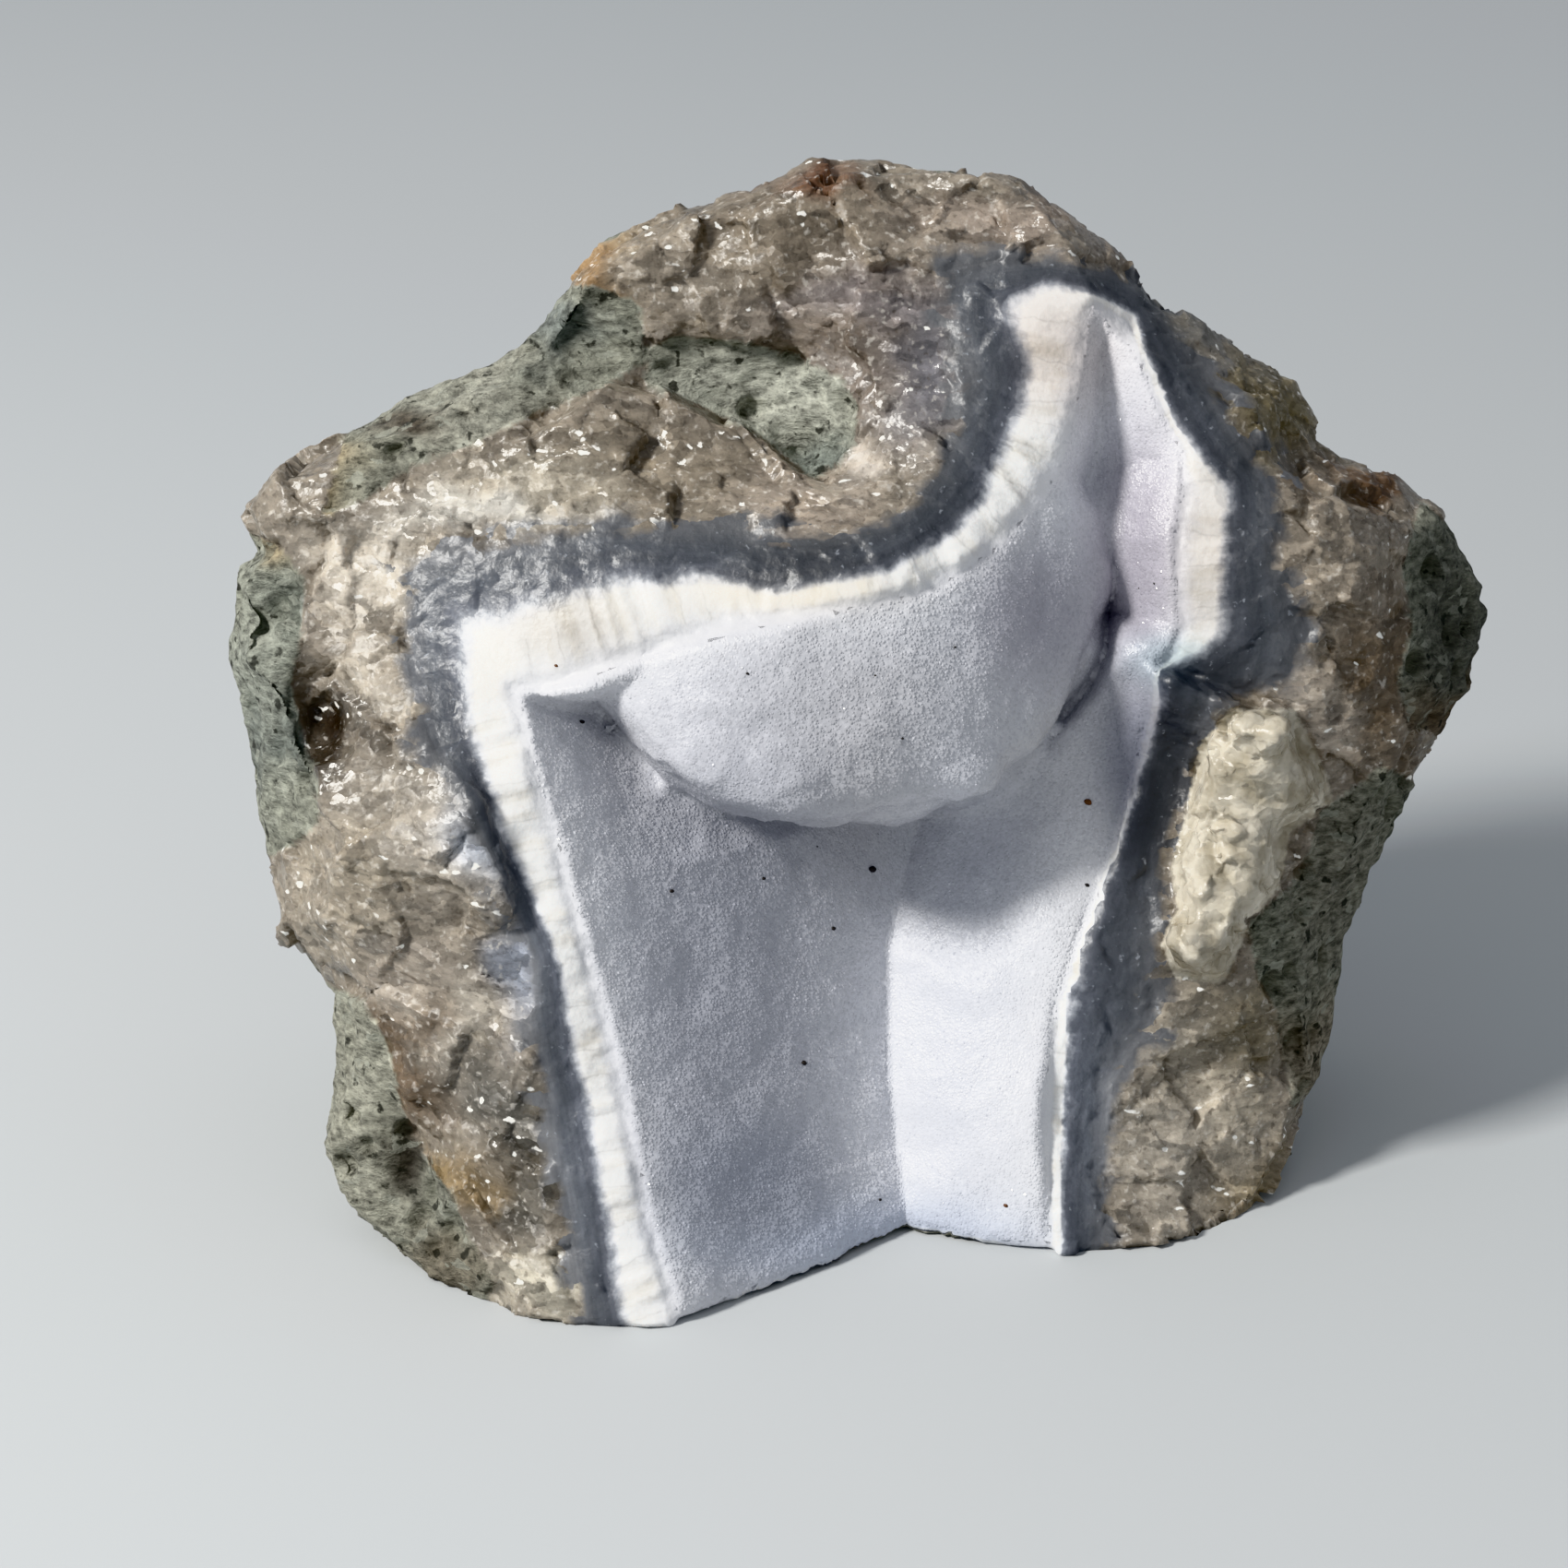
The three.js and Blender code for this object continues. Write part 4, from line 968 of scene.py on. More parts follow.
def count_triangles(mesh: Mesh) -> int:
    """The number of triangles that a mesh's faces make."""
    return sum(len(polygon.vertices) - 2 for polygon in mesh.polygons)


def apply_modifiers(piece: Piece) -> None:
    """Turns a piece with modifiers into a plain mesh, and takes the modifiers off."""
    depsgraph = bpy.context.evaluated_depsgraph_get()
    mesh = bpy.data.meshes.new_from_object(
        piece.evaluated_get(depsgraph), preserve_all_data_layers=True, depsgraph=depsgraph)
    piece.modifiers.clear()
    old, piece.data = piece.data, mesh
    bpy.data.meshes.remove(old)
    mesh.name = piece.name


def add_node(tree: Tree, kind: str, inputs: dict | Sequence = (), **settings) -> Node:
    """Adds a node with its settings and links.

    Args:
        tree: the tree that gets the node.
        kind: the node's type name.
        inputs: values by the input's name, or in the order of the inputs that are in use. A socket,
            or the first output in use of a node, is linked, and any other value is set.
        **settings: the node's own settings.

    Returns:
        The new node.
    """
    node = tree.nodes.new(kind)
    for name, value in settings.items():
        setattr(node, name, value)
    named = isinstance(inputs, dict)
    targets = node.inputs if named else [socket for socket in node.inputs if socket.enabled]
    for name, value in inputs.items() if named else enumerate(inputs):
        if isinstance(value, Node):
            value = next(socket for socket in value.outputs if socket.enabled)
        if isinstance(value, Socket):
            tree.links.new(value, targets[name])
        else:
            targets[name].default_value = value
    return node


def new_material(name: str) -> tuple[bpy.types.Material, Tree]:
    """An empty node material and its tree."""
    material = bpy.data.materials.new(name)
    material.use_nodes = True
    material.node_tree.nodes.clear()
    return material, material.node_tree


def rgba(colour: str) -> tuple[float, float, float, float]:
    """An sRGB hex colour as a linear colour that a node takes."""
    return (*to_linear(colour), 1.0)


@dataclass(frozen=True)
class BandedStoneFinish:
    """Chalcedony, quartz and basalt as a hammer broke them.

    The white band glows and is waxy, with fibres across it. The blue-grey band is smooth and dark
    with pale chips, the quartz glitters from small flat faces and has a few painted highlights, and
    the basalt is matt and grainy.
    Sizes are in millimetres. A pair says where a change starts and ends, and a row of four also
    says what it goes from and to. A noise has its detail and its roughness.
    """

    bands: tuple = (
        (-1.0, "#dbdce2"), (-0.5, "#dddee3"), (-0.1, "#e0e0e4"), (0.15, "#e0e0e2"),
        (0.4, "#f2f1ef"), (0.8, "#f4f3f1"), (0.91, "#d0d1d5"), (1.0, "#8e9198"), (1.1, "#5b5e66"),
        (1.25, "#4c4f56"), (1.55, "#4d5056"), (1.95, "#5c5d60"))
    milky: str = "#e2dcd3"
    smoky: str = "#4a4238"
    cream: str = "#a59c89"
    cream_light: str = "#cbc4b5"
    stain: str = "#dcd6ca"
    crack: str = "#8d8a86"
    chip: str = "#b3b8c2"
    # The near-white colour of the painted highlights on a few quartz grains.
    painted_glint: str = "#f4f2ec"
    dark_fleck: str = "#23241f"
    pale_fleck: str = "#b9bbae"

    wander_size: float = 2.5
    fray_size: float = 0.7
    tooth_size: float = 2.2
    grain_size: float = 2.6
    small_grain_size: float = 0.9
    painted_glint_size: float = 0.7
    sugar_size: float = 0.45
    basalt_grain_size: float = 0.8
    dark_fleck_size: float = 1.4
    shard_warp_size: float = 1.5
    shard_warp: float = 1.6
    block_length: float = 3.4
    streak_length: float = 9.0
    streak_width: float = 0.22
    soft_noise: tuple = (3, 0.5)
    felt_noise: tuple = (6, 0.72)
    tooth_noise: tuple = (4, 0.6)
    streak_noise: tuple = (5, 0.6)
    felt_turn: tuple = (0.3, 0.2, 0.4)
    felt_stretch: tuple = (0.6, 0.6, 1.3)
    shard_turn: tuple = (0.3, 0.25, 0.4)
    shard_stretch: tuple = (0.55, 0.9, 1.2)

    wander: float = 0.28
    fray: float = 0.2
    tooth: float = 0.34
    grain_jump: float = 0.4
    basalt_wander: float = 2.6
    basalt_fray: float = 1.2
    slab_fray: float = 0.8
    block_wander: float = 1.5
    band_from: tuple = (0.92, 1.08)
    quartz_from: tuple = (1.9, 2.12)
    basalt_from: tuple = (-0.1, 0.1)
    slab_from: tuple = (-0.15, 0.15)
    sugar_from: tuple = (0.2, -0.2)
    white_from: tuple = (0.05, 0.3)
    glow_from: tuple = (0.0, 0.35)
    painted_glint_from: tuple = (0.965, 0.97)
    painted_glint_rim: tuple = (0.45, 0.3)
    cream_from: tuple = (0.3, 0.65)

    streak_shades: tuple = (0.3, 0.7, 0.78, 1.22)
    chips: tuple = (0.66, 0.74, 0, 0.35)
    fibre_stains: tuple = (0.48, 0.7, 0, 0.6)
    block_shades: tuple = (0, 1, 0.93, 1.02)
    crack_depths: tuple = (0, 0.05, 0.2, 0)
    grain_shades: tuple = (0, 1, 0.78, 1.24)
    small_grain_shades: tuple = (0, 1, 0.84, 1.18)
    quartz_felt_shades: tuple = (0.3, 0.7, 0.72, 1.3)
    smoky_parts: tuple = (0.4, 0.3, 0, 0.5)
    milky_parts: tuple = (0.58, 0.72, 0, 0.4)
    slab_shades: tuple = (0, 1, 0.86, 1.12)
    basalt_felt_shades: tuple = (0.34, 0.64, 0.35, 1.5)
    pale_flecks: tuple = (0.88, 0.95, 0, 0.4)
    dark_flecks: tuple = (0.39, 0.33, 0, 0.85)

    smooth_relief: float = 0.1
    basalt_relief: float = 0.7
    quartz_roughness: tuple = (0.22, 0.55)
    band_roughness: float = 0.42
    basalt_roughness: float = 0.9
    slab_gloss: float = -0.15
    glow: float = 0.4
    glow_depth: float = 1.2
    glow_colour: tuple = (1.0, 0.9, 0.85)
    leans: tuple = (
        ("grain", "is_quartz", 0.1, 0.6), ("small", "is_quartz", 0.06, 0.45),
        ("small", "is_slab", 0, 0.1), ("sugar", "is_sugar", 0.05, 0.2))

    def material(self) -> bpy.types.Material:
        """Builds the material."""
        material, tree = new_material("Broken chalcedony, quartz and basalt")
        marks = self._marks(tree)
        colour = self._bands(tree, marks)
        for mask, other in (
                ("is_quartz", self._quartz), ("is_slab", self._slab), ("is_basalt", self._basalt)):
            colour = add_node(tree, MIX, [marks[mask], colour, other(tree, marks)], data_type="RGBA")

        is_basalt = marks["is_basalt"]
        relief = add_node(tree, MIX, [is_basalt, marks["fray"], marks["felt"]])
        height = add_node(tree, RANGE, [is_basalt, 0, 1, self.smooth_relief * MM, self.basalt_relief * MM])
        bump = add_node(tree, "ShaderNodeBump", {
            "Height": relief, "Distance": height, "Normal": self._lean(tree, marks)})
        rough = add_node(tree, RANGE, [marks["chance"][2], 0, 1, *self.quartz_roughness])
        rough = add_node(tree, MIX, [marks["is_quartz"], self.band_roughness, rough])
        rough = add_node(tree, MIX, [is_basalt, rough, self.basalt_roughness])
        gloss = add_node(tree, RANGE, [marks["is_slab"], 0, 1, 0, self.slab_gloss])
        rough = add_node(tree, MATH, [rough, gloss])
        glow = add_node(tree, MATH, [
            add_node(tree, RANGE, [marks["layer"], *self.glow_from]),
            add_node(tree, RANGE, [is_basalt, 0, 1, self.glow, 0])], operation="MULTIPLY")
        shader = add_node(tree, "ShaderNodeBsdfPrincipled", {
            "Base Color": colour, "Roughness": rough, "Normal": bump, "IOR": QUARTZ_IOR,
            "Subsurface Weight": glow, "Subsurface Radius": self.glow_colour,
            "Subsurface Scale": self.glow_depth * MM})
        add_node(tree, "ShaderNodeOutputMaterial", [shader])
        return material

    def _marks(self, tree: Tree) -> dict:
        """The patterns and masks that the parts of the material share, by name."""
        place = add_node(tree, "ShaderNodeTexCoord").outputs["Object"]
        layer, along, basalt, slab = (
            add_node(tree, ATTRIBUTE, attribute_name=name).outputs["Fac"]
            for name in ("layer", "along", "basalt", "slab"))
        tone, tint_and_painted_shade = (add_node(tree, ATTRIBUTE, attribute_name=name) for name in ("tone", "tint_and_painted_shade"))
        felted, shard = (
            add_node(tree, "ShaderNodeMapping", {"Vector": place, "Rotation": turn, "Scale": stretch})
            for turn, stretch in (
                (self.felt_turn, self.felt_stretch), (self.shard_turn, self.shard_stretch)))
        across = add_node(tree, "ShaderNodeCombineXYZ", [along, layer])
        wander, fray, felt, tooth, warp, spots = (
            add_node(tree, NOISE, {"Vector": vector, "Scale": scale, "Detail": detail, "Roughness": rough})
            for vector, scale, detail, rough in (
                (place, per_mm(self.wander_size), *self.soft_noise),
                (place, per_mm(self.fray_size), *self.soft_noise),
                (felted, per_mm(self.basalt_grain_size), *self.felt_noise),
                (across, 1 / self.tooth_size, *self.tooth_noise),
                (place, per_mm(self.shard_warp_size), *self.soft_noise),
                (place, per_mm(self.dark_fleck_size), *self.soft_noise)))
        shard = add_node(tree, VECTOR, [warp.outputs["Color"], [self.shard_warp * MM] * 3, shard],
                         operation="MULTIPLY_ADD")
        grain, small, painted_glint, sugar = (
            add_node(tree, CELLS, {"Vector": vector, "Scale": per_mm(size)}) for vector, size in (
                (shard, self.grain_size), (shard, self.small_grain_size), (shard, self.painted_glint_size),
                (place, self.sugar_size)))
        chance, small_chance, luck = (
            add_node(tree, "ShaderNodeSeparateColor", [cell.outputs["Color"]]).outputs
            for cell in (grain, small, painted_glint))
        marks = {
            "layer": layer, "basalt": basalt, "slab": slab, "walk": along, "tone": tone, "tint_and_painted_shade": tint_and_painted_shade,
            "across": across, "wander": wander, "fray": fray, "felt": felt, "tooth": tooth,
            "spots": spots, "grain": grain, "small": small, "painted_glint": painted_glint, "sugar": sugar,
            "chance": chance, "small_chance": small_chance, "luck": luck}
        for name, start, pattern, width in (
                ("wandered", "layer", wander, self.wander), ("frayed", "wandered", fray, self.fray),
                ("edge", "frayed", tooth, self.tooth), ("bent", "wandered", wander, self.wander),
                ("broken", "bent", chance[0], self.grain_jump),
                ("basalt", "basalt", wander, self.basalt_wander),
                ("basalt", "basalt", fray, self.basalt_fray),
                ("slab", "slab", fray, self.slab_fray), ("walk", "walk", wander, self.block_wander)):
            centred = add_node(tree, MATH, [pattern, width, -width / 2], operation="MULTIPLY_ADD")
            marks[name] = add_node(tree, MATH, [marks[start], centred])
        for name, value, ends in (
                ("is_band", "edge", self.band_from), ("is_quartz", "broken", self.quartz_from),
                ("is_basalt", "basalt", self.basalt_from), ("is_slab", "slab", self.slab_from),
                ("is_sugar", "edge", self.sugar_from)):
            marks[name] = add_node(tree, RANGE, [marks[value], *ends])
        return marks

    def _bands(self, tree: Tree, marks: dict) -> Node:
        """The colour of the druse and of the two chalcedony bands."""
        low, high = self.bands[0][0], self.bands[-1][0]
        ramp = add_node(tree, "ShaderNodeValToRGB", [add_node(tree, RANGE, [marks["edge"], low, high])])
        stops = ramp.color_ramp.elements
        for number, (at, colour) in enumerate(self.bands):
            stop = stops[number] if number < 2 else stops.new(1)
            stop.position = (at - low) / (high - low)
            stop.color = rgba(colour)
        # Painted shade: this tint also darkens the bands and the druse where the walls lie in shade, besides
        # their own tints.
        colour = add_node(tree, MIX, [1, ramp, marks["tint_and_painted_shade"]], data_type="RGBA", blend_type="MULTIPLY")
        streak = add_node(tree, "ShaderNodeMapping", {
            "Vector": marks["across"], "Scale": (1 / self.streak_length, 1 / self.streak_width, 1)})
        detail, rough = self.streak_noise
        lines = add_node(tree, NOISE, {"Vector": streak, "Scale": 1, "Detail": detail, "Roughness": rough})
        dark = add_node(tree, VECTOR, [colour, add_node(tree, RANGE, [lines, *self.streak_shades])],
                        operation="SCALE")
        chips = add_node(tree, RANGE, [marks["fray"], *self.chips])
        dark = add_node(tree, MIX, [chips, dark, rgba(self.chip)], data_type="RGBA")
        block, crack = (
            add_node(tree, CELLS, {"W": marks["walk"], "Scale": 1 / self.block_length},
                     voronoi_dimensions="1D", feature=feature).outputs[output]
            for feature, output in (("F1", "Color"), ("DISTANCE_TO_EDGE", "Distance")))
        on_white = add_node(tree, RANGE, [marks["layer"], *self.white_from])
        stain = add_node(tree, RANGE, [marks["tooth"], *self.fibre_stains])
        fibre = add_node(tree, MIX, [stain, colour, rgba(self.stain)],
                         data_type="RGBA", blend_type="MULTIPLY")
        fibre = add_node(tree, VECTOR, [fibre, add_node(tree, RANGE, [block, *self.block_shades])],
                         operation="SCALE")
        fibre = add_node(tree, MIX, [on_white, colour, fibre], data_type="RGBA")
        crack = add_node(tree, MATH, [add_node(tree, RANGE, [crack, *self.crack_depths]), on_white],
                         operation="MULTIPLY")
        white = add_node(tree, MIX, [crack, fibre, rgba(self.crack)],
                         data_type="RGBA", blend_type="MULTIPLY")
        return add_node(tree, MIX, [marks["is_band"], white, dark], data_type="RGBA")

    def _quartz(self, tree: Tree, marks: dict) -> Node:
        """The colour of the quartz, whose grains are milky, smoky or in between, with a few painted
        highlights.
        """
        colour = marks["tone"]
        for pattern, shades in (
                (marks["chance"][1], self.grain_shades), (marks["small_chance"][1], self.small_grain_shades),
                (marks["felt"], self.quartz_felt_shades)):
            shade = add_node(tree, RANGE, [pattern, *shades])
            colour = add_node(tree, VECTOR, [colour, shade], operation="SCALE")
        for parts, stain in ((self.smoky_parts, self.smoky), (self.milky_parts, self.milky)):
            amount = add_node(tree, RANGE, [marks["fray"], *parts])
            colour = add_node(tree, MIX, [amount, colour, rgba(stain)], data_type="RGBA")
        # Painted highlights: a few grains are painted near-white towards their middles, as glints.
        flash = add_node(tree, MATH, [
            add_node(tree, RANGE, [marks["luck"][0], *self.painted_glint_from]),
            add_node(tree, RANGE, [marks["painted_glint"], *self.painted_glint_rim])], operation="MULTIPLY")
        return add_node(tree, MIX, [flash, colour, rgba(self.painted_glint)], data_type="RGBA")

    def _slab(self, tree: Tree, marks: dict) -> Node:
        """The colour of the raised slab of cream quartz."""
        light = add_node(tree, RANGE, [marks["wander"], *self.cream_from])
        colour = add_node(tree, MIX, [light, rgba(self.cream), rgba(self.cream_light)], data_type="RGBA")
        shade = add_node(tree, RANGE, [marks["small_chance"][1], *self.slab_shades])
        return add_node(tree, VECTOR, [colour, shade], operation="SCALE")

    def _basalt(self, tree: Tree, marks: dict) -> Node:
        """The colour of the rind, a felt of light and dark mineral grains."""
        shade = add_node(tree, RANGE, [marks["felt"], *self.basalt_felt_shades])
        colour = add_node(tree, VECTOR, [marks["tone"], shade], operation="SCALE")
        for pattern, parts, fleck in (
                (marks["small_chance"][0], self.pale_flecks, self.pale_fleck),
                (marks["spots"], self.dark_flecks, self.dark_fleck)):
            amount = add_node(tree, RANGE, [pattern, *parts])
            colour = add_node(tree, MIX, [amount, colour, rgba(fleck)], data_type="RGBA")
        return colour

    def _lean(self, tree: Tree, marks: dict) -> Node:
        """A normal that leans its own way on each small crystal face."""
        normal = add_node(tree, "ShaderNodeNewGeometry").outputs["Normal"]
        for cell, mask, least, most in self.leans:
            way = add_node(tree, VECTOR, [marks[cell].outputs["Color"], (0.5, 0.5, 0.5)],
                           operation="SUBTRACT")
            strength = add_node(tree, RANGE, [marks[mask], 0, 1, least, most])
            way = add_node(tree, VECTOR, [way, strength], operation="SCALE")
            normal = add_node(tree, VECTOR, [normal, way])
        return add_node(tree, VECTOR, [normal], operation="NORMALIZE")


@dataclass(frozen=True)
class DruseFinish:
    """Clear quartz crystals the size of sugar grains.

    Light passes through the real crystals, so that their faces differ little in brightness; here their
    shading normals lean mostly to the crust's own normal for that. They look pale lilac from the
    chalcedony below. A few faces are clean enough to flash.
    """

    deep: str = "#dbdce2"
    near_rim: str = "#e0e0e4"
    roughness: tuple = (0.35, 0.1)
    facet: tuple = (0.36, 0.95)
    clean_from: tuple = (0.95, 0.951)

    def material(self) -> bpy.types.Material:
        """Builds the material."""
        material, tree = new_material("Druse of clear quartz")
        layer, shade, luck, ground, tint_and_painted_shade = (
            add_node(tree, ATTRIBUTE, attribute_name=name).outputs[output] for name, output in (
                ("layer", "Fac"), ("shade", "Fac"), ("luck", "Fac"), ("ground", "Vector"),
                ("tint_and_painted_shade", "Color")))
        place = add_node(tree, RANGE, [layer, -1, 0])
        colour = add_node(tree, MIX, [place, rgba(self.deep), rgba(self.near_rim)], data_type="RGBA")
        # Painted shade: this tint also darkens the crystals on the shaded walls and the lobe's shaded side,
        # besides their own tints.
        colour = add_node(tree, MIX, [1, colour, tint_and_painted_shade], data_type="RGBA", blend_type="MULTIPLY")
        colour = add_node(tree, VECTOR, [colour, shade], operation="SCALE")
        facet, rough = (
            add_node(tree, RANGE, [luck, *self.clean_from, *ends]) for ends in (self.facet, self.roughness))
        own = add_node(tree, "ShaderNodeNewGeometry").outputs["Normal"]
        normal = add_node(tree, MIX, [facet, ground, own], data_type="VECTOR")
        normal = add_node(tree, VECTOR, [normal], operation="NORMALIZE")
        shader = add_node(tree, "ShaderNodeBsdfPrincipled", {
            "Base Color": colour, "Roughness": rough, "Normal": normal, "IOR": QUARTZ_IOR})
        add_node(tree, "ShaderNodeOutputMaterial", [shader])
        return material


@dataclass(frozen=True)
class OxideFinish:
    """Grains of iron or manganese oxide, nearly black, rusty where they are iron."""

    black: str = "#1b1a1a"
    rust: str = "#7a4a22"
    mottle: str = "#2c2622"
    mottle_size: float = 0.2
    roughness: float = 0.55

    def material(self, rusty: bool) -> bpy.types.Material:
        """Builds the material, rusty or black."""
        material, tree = new_material("Iron oxide grain" if rusty else "Manganese oxide grain")
        place = add_node(tree, "ShaderNodeTexCoord").outputs["Object"]
        mottle = add_node(tree, NOISE, {"Vector": place, "Scale": per_mm(self.mottle_size)})
        ground = self.rust if rusty else self.black
        colour = add_node(tree, MIX, [mottle, rgba(ground), rgba(self.mottle)], data_type="RGBA")
        shader = add_node(tree, "ShaderNodeBsdfPrincipled", {
            "Base Color": colour, "Roughness": self.roughness})
        add_node(tree, "ShaderNodeOutputMaterial", [shader])
        return material


@dataclass(frozen=True)
class PlainFloorFinish:
    """Pale matt card, smooth and without grain."""

    colour: str = "#b9bcbe"
    roughness: float = 0.8

    def material(self) -> bpy.types.Material:
        """Builds the material."""
        material, tree = new_material("Pale card")
        shader = add_node(tree, "ShaderNodeBsdfPrincipled", {
            "Base Color": rgba(self.colour), "Roughness": self.roughness})
        add_node(tree, "ShaderNodeOutputMaterial", [shader])
        return material


class DruseRegion(Enum):
    """The parts of the hollow whose crystals are made as one piece each."""

    LOBE = "lobe"
    LEFT_WALL = "left_wall"
    RIGHT_WALL = "right_wall"


@dataclass
class Geode:
    """The whole chunk: its fine surface, parted into the stone and its crust of crystals."""

    form: GeodeForm
    grid_step: float = 0.85
    triangles: int = 190_000
    crust_depth: float = 1.9
    crust_taper: float = 0.35
    crust_root: float = 0.3
    crust_steps: int = 6
    crease_a: float = 9.5
    crease_width: float = 0.5
    lobe_from: tuple = (1.0, 0.3)
    bare_foot: float = 0.5
    flat_foot: float = 0.3
    off_slab: float = -5
    lining_rounds: int = 2
    lining_weight: float = 0.5
    lining_share: float = 0.75

    def build(self) -> dict[str, Piece]:
        """Builds the stone and the crust.

        Returns:
            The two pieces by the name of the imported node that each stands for.
        """
        skin = Skin.around(self.form, self.grid_step).refined()
        log.info("surface drawn with %d points", len(skin.points))
        skin.settle(self.form)
        log.info("surface settled")
        lining = (-self.form.open_space(skin.points) < self.form.stone(skin.points)).astype(float)
        for _ in range(self.lining_rounds):
            share = skin.neighbour_mean(lining) + self.lining_weight * lining
            lining = (share > self.lining_share).astype(float)
        place = self.form.eye.to_part(skin.points)
        layers = StoneLayers(self.form)
        height = Relief().height(layers, skin.points, place, lining > 0.5)
        height[place[:, 2] < self.flat_foot] = 0
        triangles = np.concatenate([skin.quads[:, [0, 1, 2]], skin.quads[:, [0, 2, 3]]])
        place += height[:, None] * point_normals(place, triangles)
        place[:, 2] = np.maximum(place[:, 2], 0)
        whole = make_mesh("whole", place, skin.quads.tolist())
        set_attribute(whole.data, "lining", lining)
        self._thin(whole)
        log.info("surface thinned")
        pieces = self._part(whole, layers)
        bpy.data.objects.remove(whole)
        return pieces

    def _thin(self, piece: Piece) -> None:
        """Takes out the triangles that a piece has too many."""
        thin = piece.modifiers.new("thin", "DECIMATE")
        thin.ratio = self.triangles / count_triangles(piece.data)
        thin.use_collapse_triangulate = True
        apply_modifiers(piece)

    def _part(self, whole: Piece, layers: StoneLayers) -> dict[str, Piece]:
        """Parts the closed surface into the stone and a crust that lies in it."""
        place = read_points(whole.data)
        faces = read_triangles(whole.data)
        lining = read_attribute(whole.data, "lining") > 0.5
        lined = lining[faces].all(axis=1)
        normals = point_normals(place, faces)
        count = len(place)
        inset = np.minimum(self._steps_inside(faces, lined, count) * self.crust_taper, self.crust_depth)
        deeper = np.minimum(inset + self.crust_root, self.crust_depth)
        in_stone, in_crust = (
            np.maximum(place - depth[:, None] * normals, (-np.inf, -np.inf, 0)) for depth in (inset, deeper))
        stone = make_mesh("fine_stone", in_stone, faces.tolist())
        stone.data.normals_split_custom_set_from_vertices(normals)

        skin_faces = faces[lined]
        sides = np.stack([skin_faces, np.roll(skin_faces, -1, axis=1)], axis=2).reshape(-1, 2)
        keys = np.sort(sides, axis=1) @ np.array([count, 1])
        _, first, uses = np.unique(keys, return_index=True, return_counts=True)
        edge = sides[first[uses == 1]]
        rim = np.stack([edge[:, 1], edge[:, 0], edge[:, 0] + count, edge[:, 1] + count], axis=1)
        all_faces = np.concatenate([skin_faces.ravel(), (skin_faces[:, ::-1] + count).ravel(), rim.ravel()])
        used, number = np.unique(all_faces, return_inverse=True)
        split = 2 * skin_faces.size
        crust_faces = number[:split].reshape(-1, 3).tolist() + number[split:].reshape(-1, 4).tolist()
        crust = make_mesh("fine_druse_crust", np.concatenate([place, in_crust])[used], crust_faces)
        crust.data.normals_split_custom_set_from_vertices(np.concatenate([normals, -normals])[used])
        outer = (used < count) & ~np.isin(used, edge)
        front = (outer & (np.tile(place[:, 2], 2)[used] > self.bare_foot)).astype(float)

        self._mark(stone, layers, place, lining)
        surface = np.concatenate([place, place])[used]
        self._mark(crust, layers, surface, np.ones(len(surface), bool))
        self._mark_regions(crust, surface, front)
        return {"stone": stone, "druse_crust": crust}

    def _steps_inside(self, faces: Array, lined: Array, count: int) -> Array:
        """How many faces each point of the lining is away from the lining's edge, up to a few.

        Args:
            faces: the point numbers of each triangle.
            lined: whether each triangle is on the lining.
            count: the number of points.

        Returns:
            The number of faces for each point.
        """
        steps = np.full(count, self.crust_steps)
        steps[faces[~lined]] = 0
        for _ in range(self.crust_steps):
            lowest = steps[faces[lined]].min(axis=1) + 1
            for n in range(3):
                np.minimum.at(steps, faces[lined][:, n], lowest)
        return steps

    def _mark(self, piece: Piece, layers: StoneLayers, surface: Array, lining: Array) -> None:
        """Writes what the finish reads to the piece's points."""
        points = self.form.eye.to_face(surface)
        basalt = layers.basalt(points, lining)
        set_attribute(piece.data, "layer", layers.layer(points, lining))
        set_attribute(piece.data, "along", layers.along(points))
        set_attribute(piece.data, "basalt", basalt)
        slab = np.where(lining, self.off_slab, self.form.look_up("tongue", points))
        set_attribute(piece.data, "slab", slab)
        set_attribute(piece.data, "tint_and_painted_shade", layers.tint_and_painted_shade(points))
        set_attribute(piece.data, "tone", layers.tone(points, basalt))

    def _mark_regions(self, crust: Piece, surface: Array, front: Array) -> None:
        """Writes to the crust's points which of its regions they are in."""
        points = self.form.eye.to_face(surface)
        on_lobe = smoothstep(*self.lobe_from, np.abs(self.form.lobe(points)))
        left_end, right_end = self.crease_a - self.crease_width, self.crease_a + self.crease_width
        right = smoothstep(left_end, right_end, points[:, 0])
        for region, share in (
                (DruseRegion.LOBE, on_lobe), (DruseRegion.LEFT_WALL, (1 - on_lobe) * (1 - right)),
                (DruseRegion.RIGHT_WALL, (1 - on_lobe) * right)):
            set_attribute(crust.data, region.value, front * share)


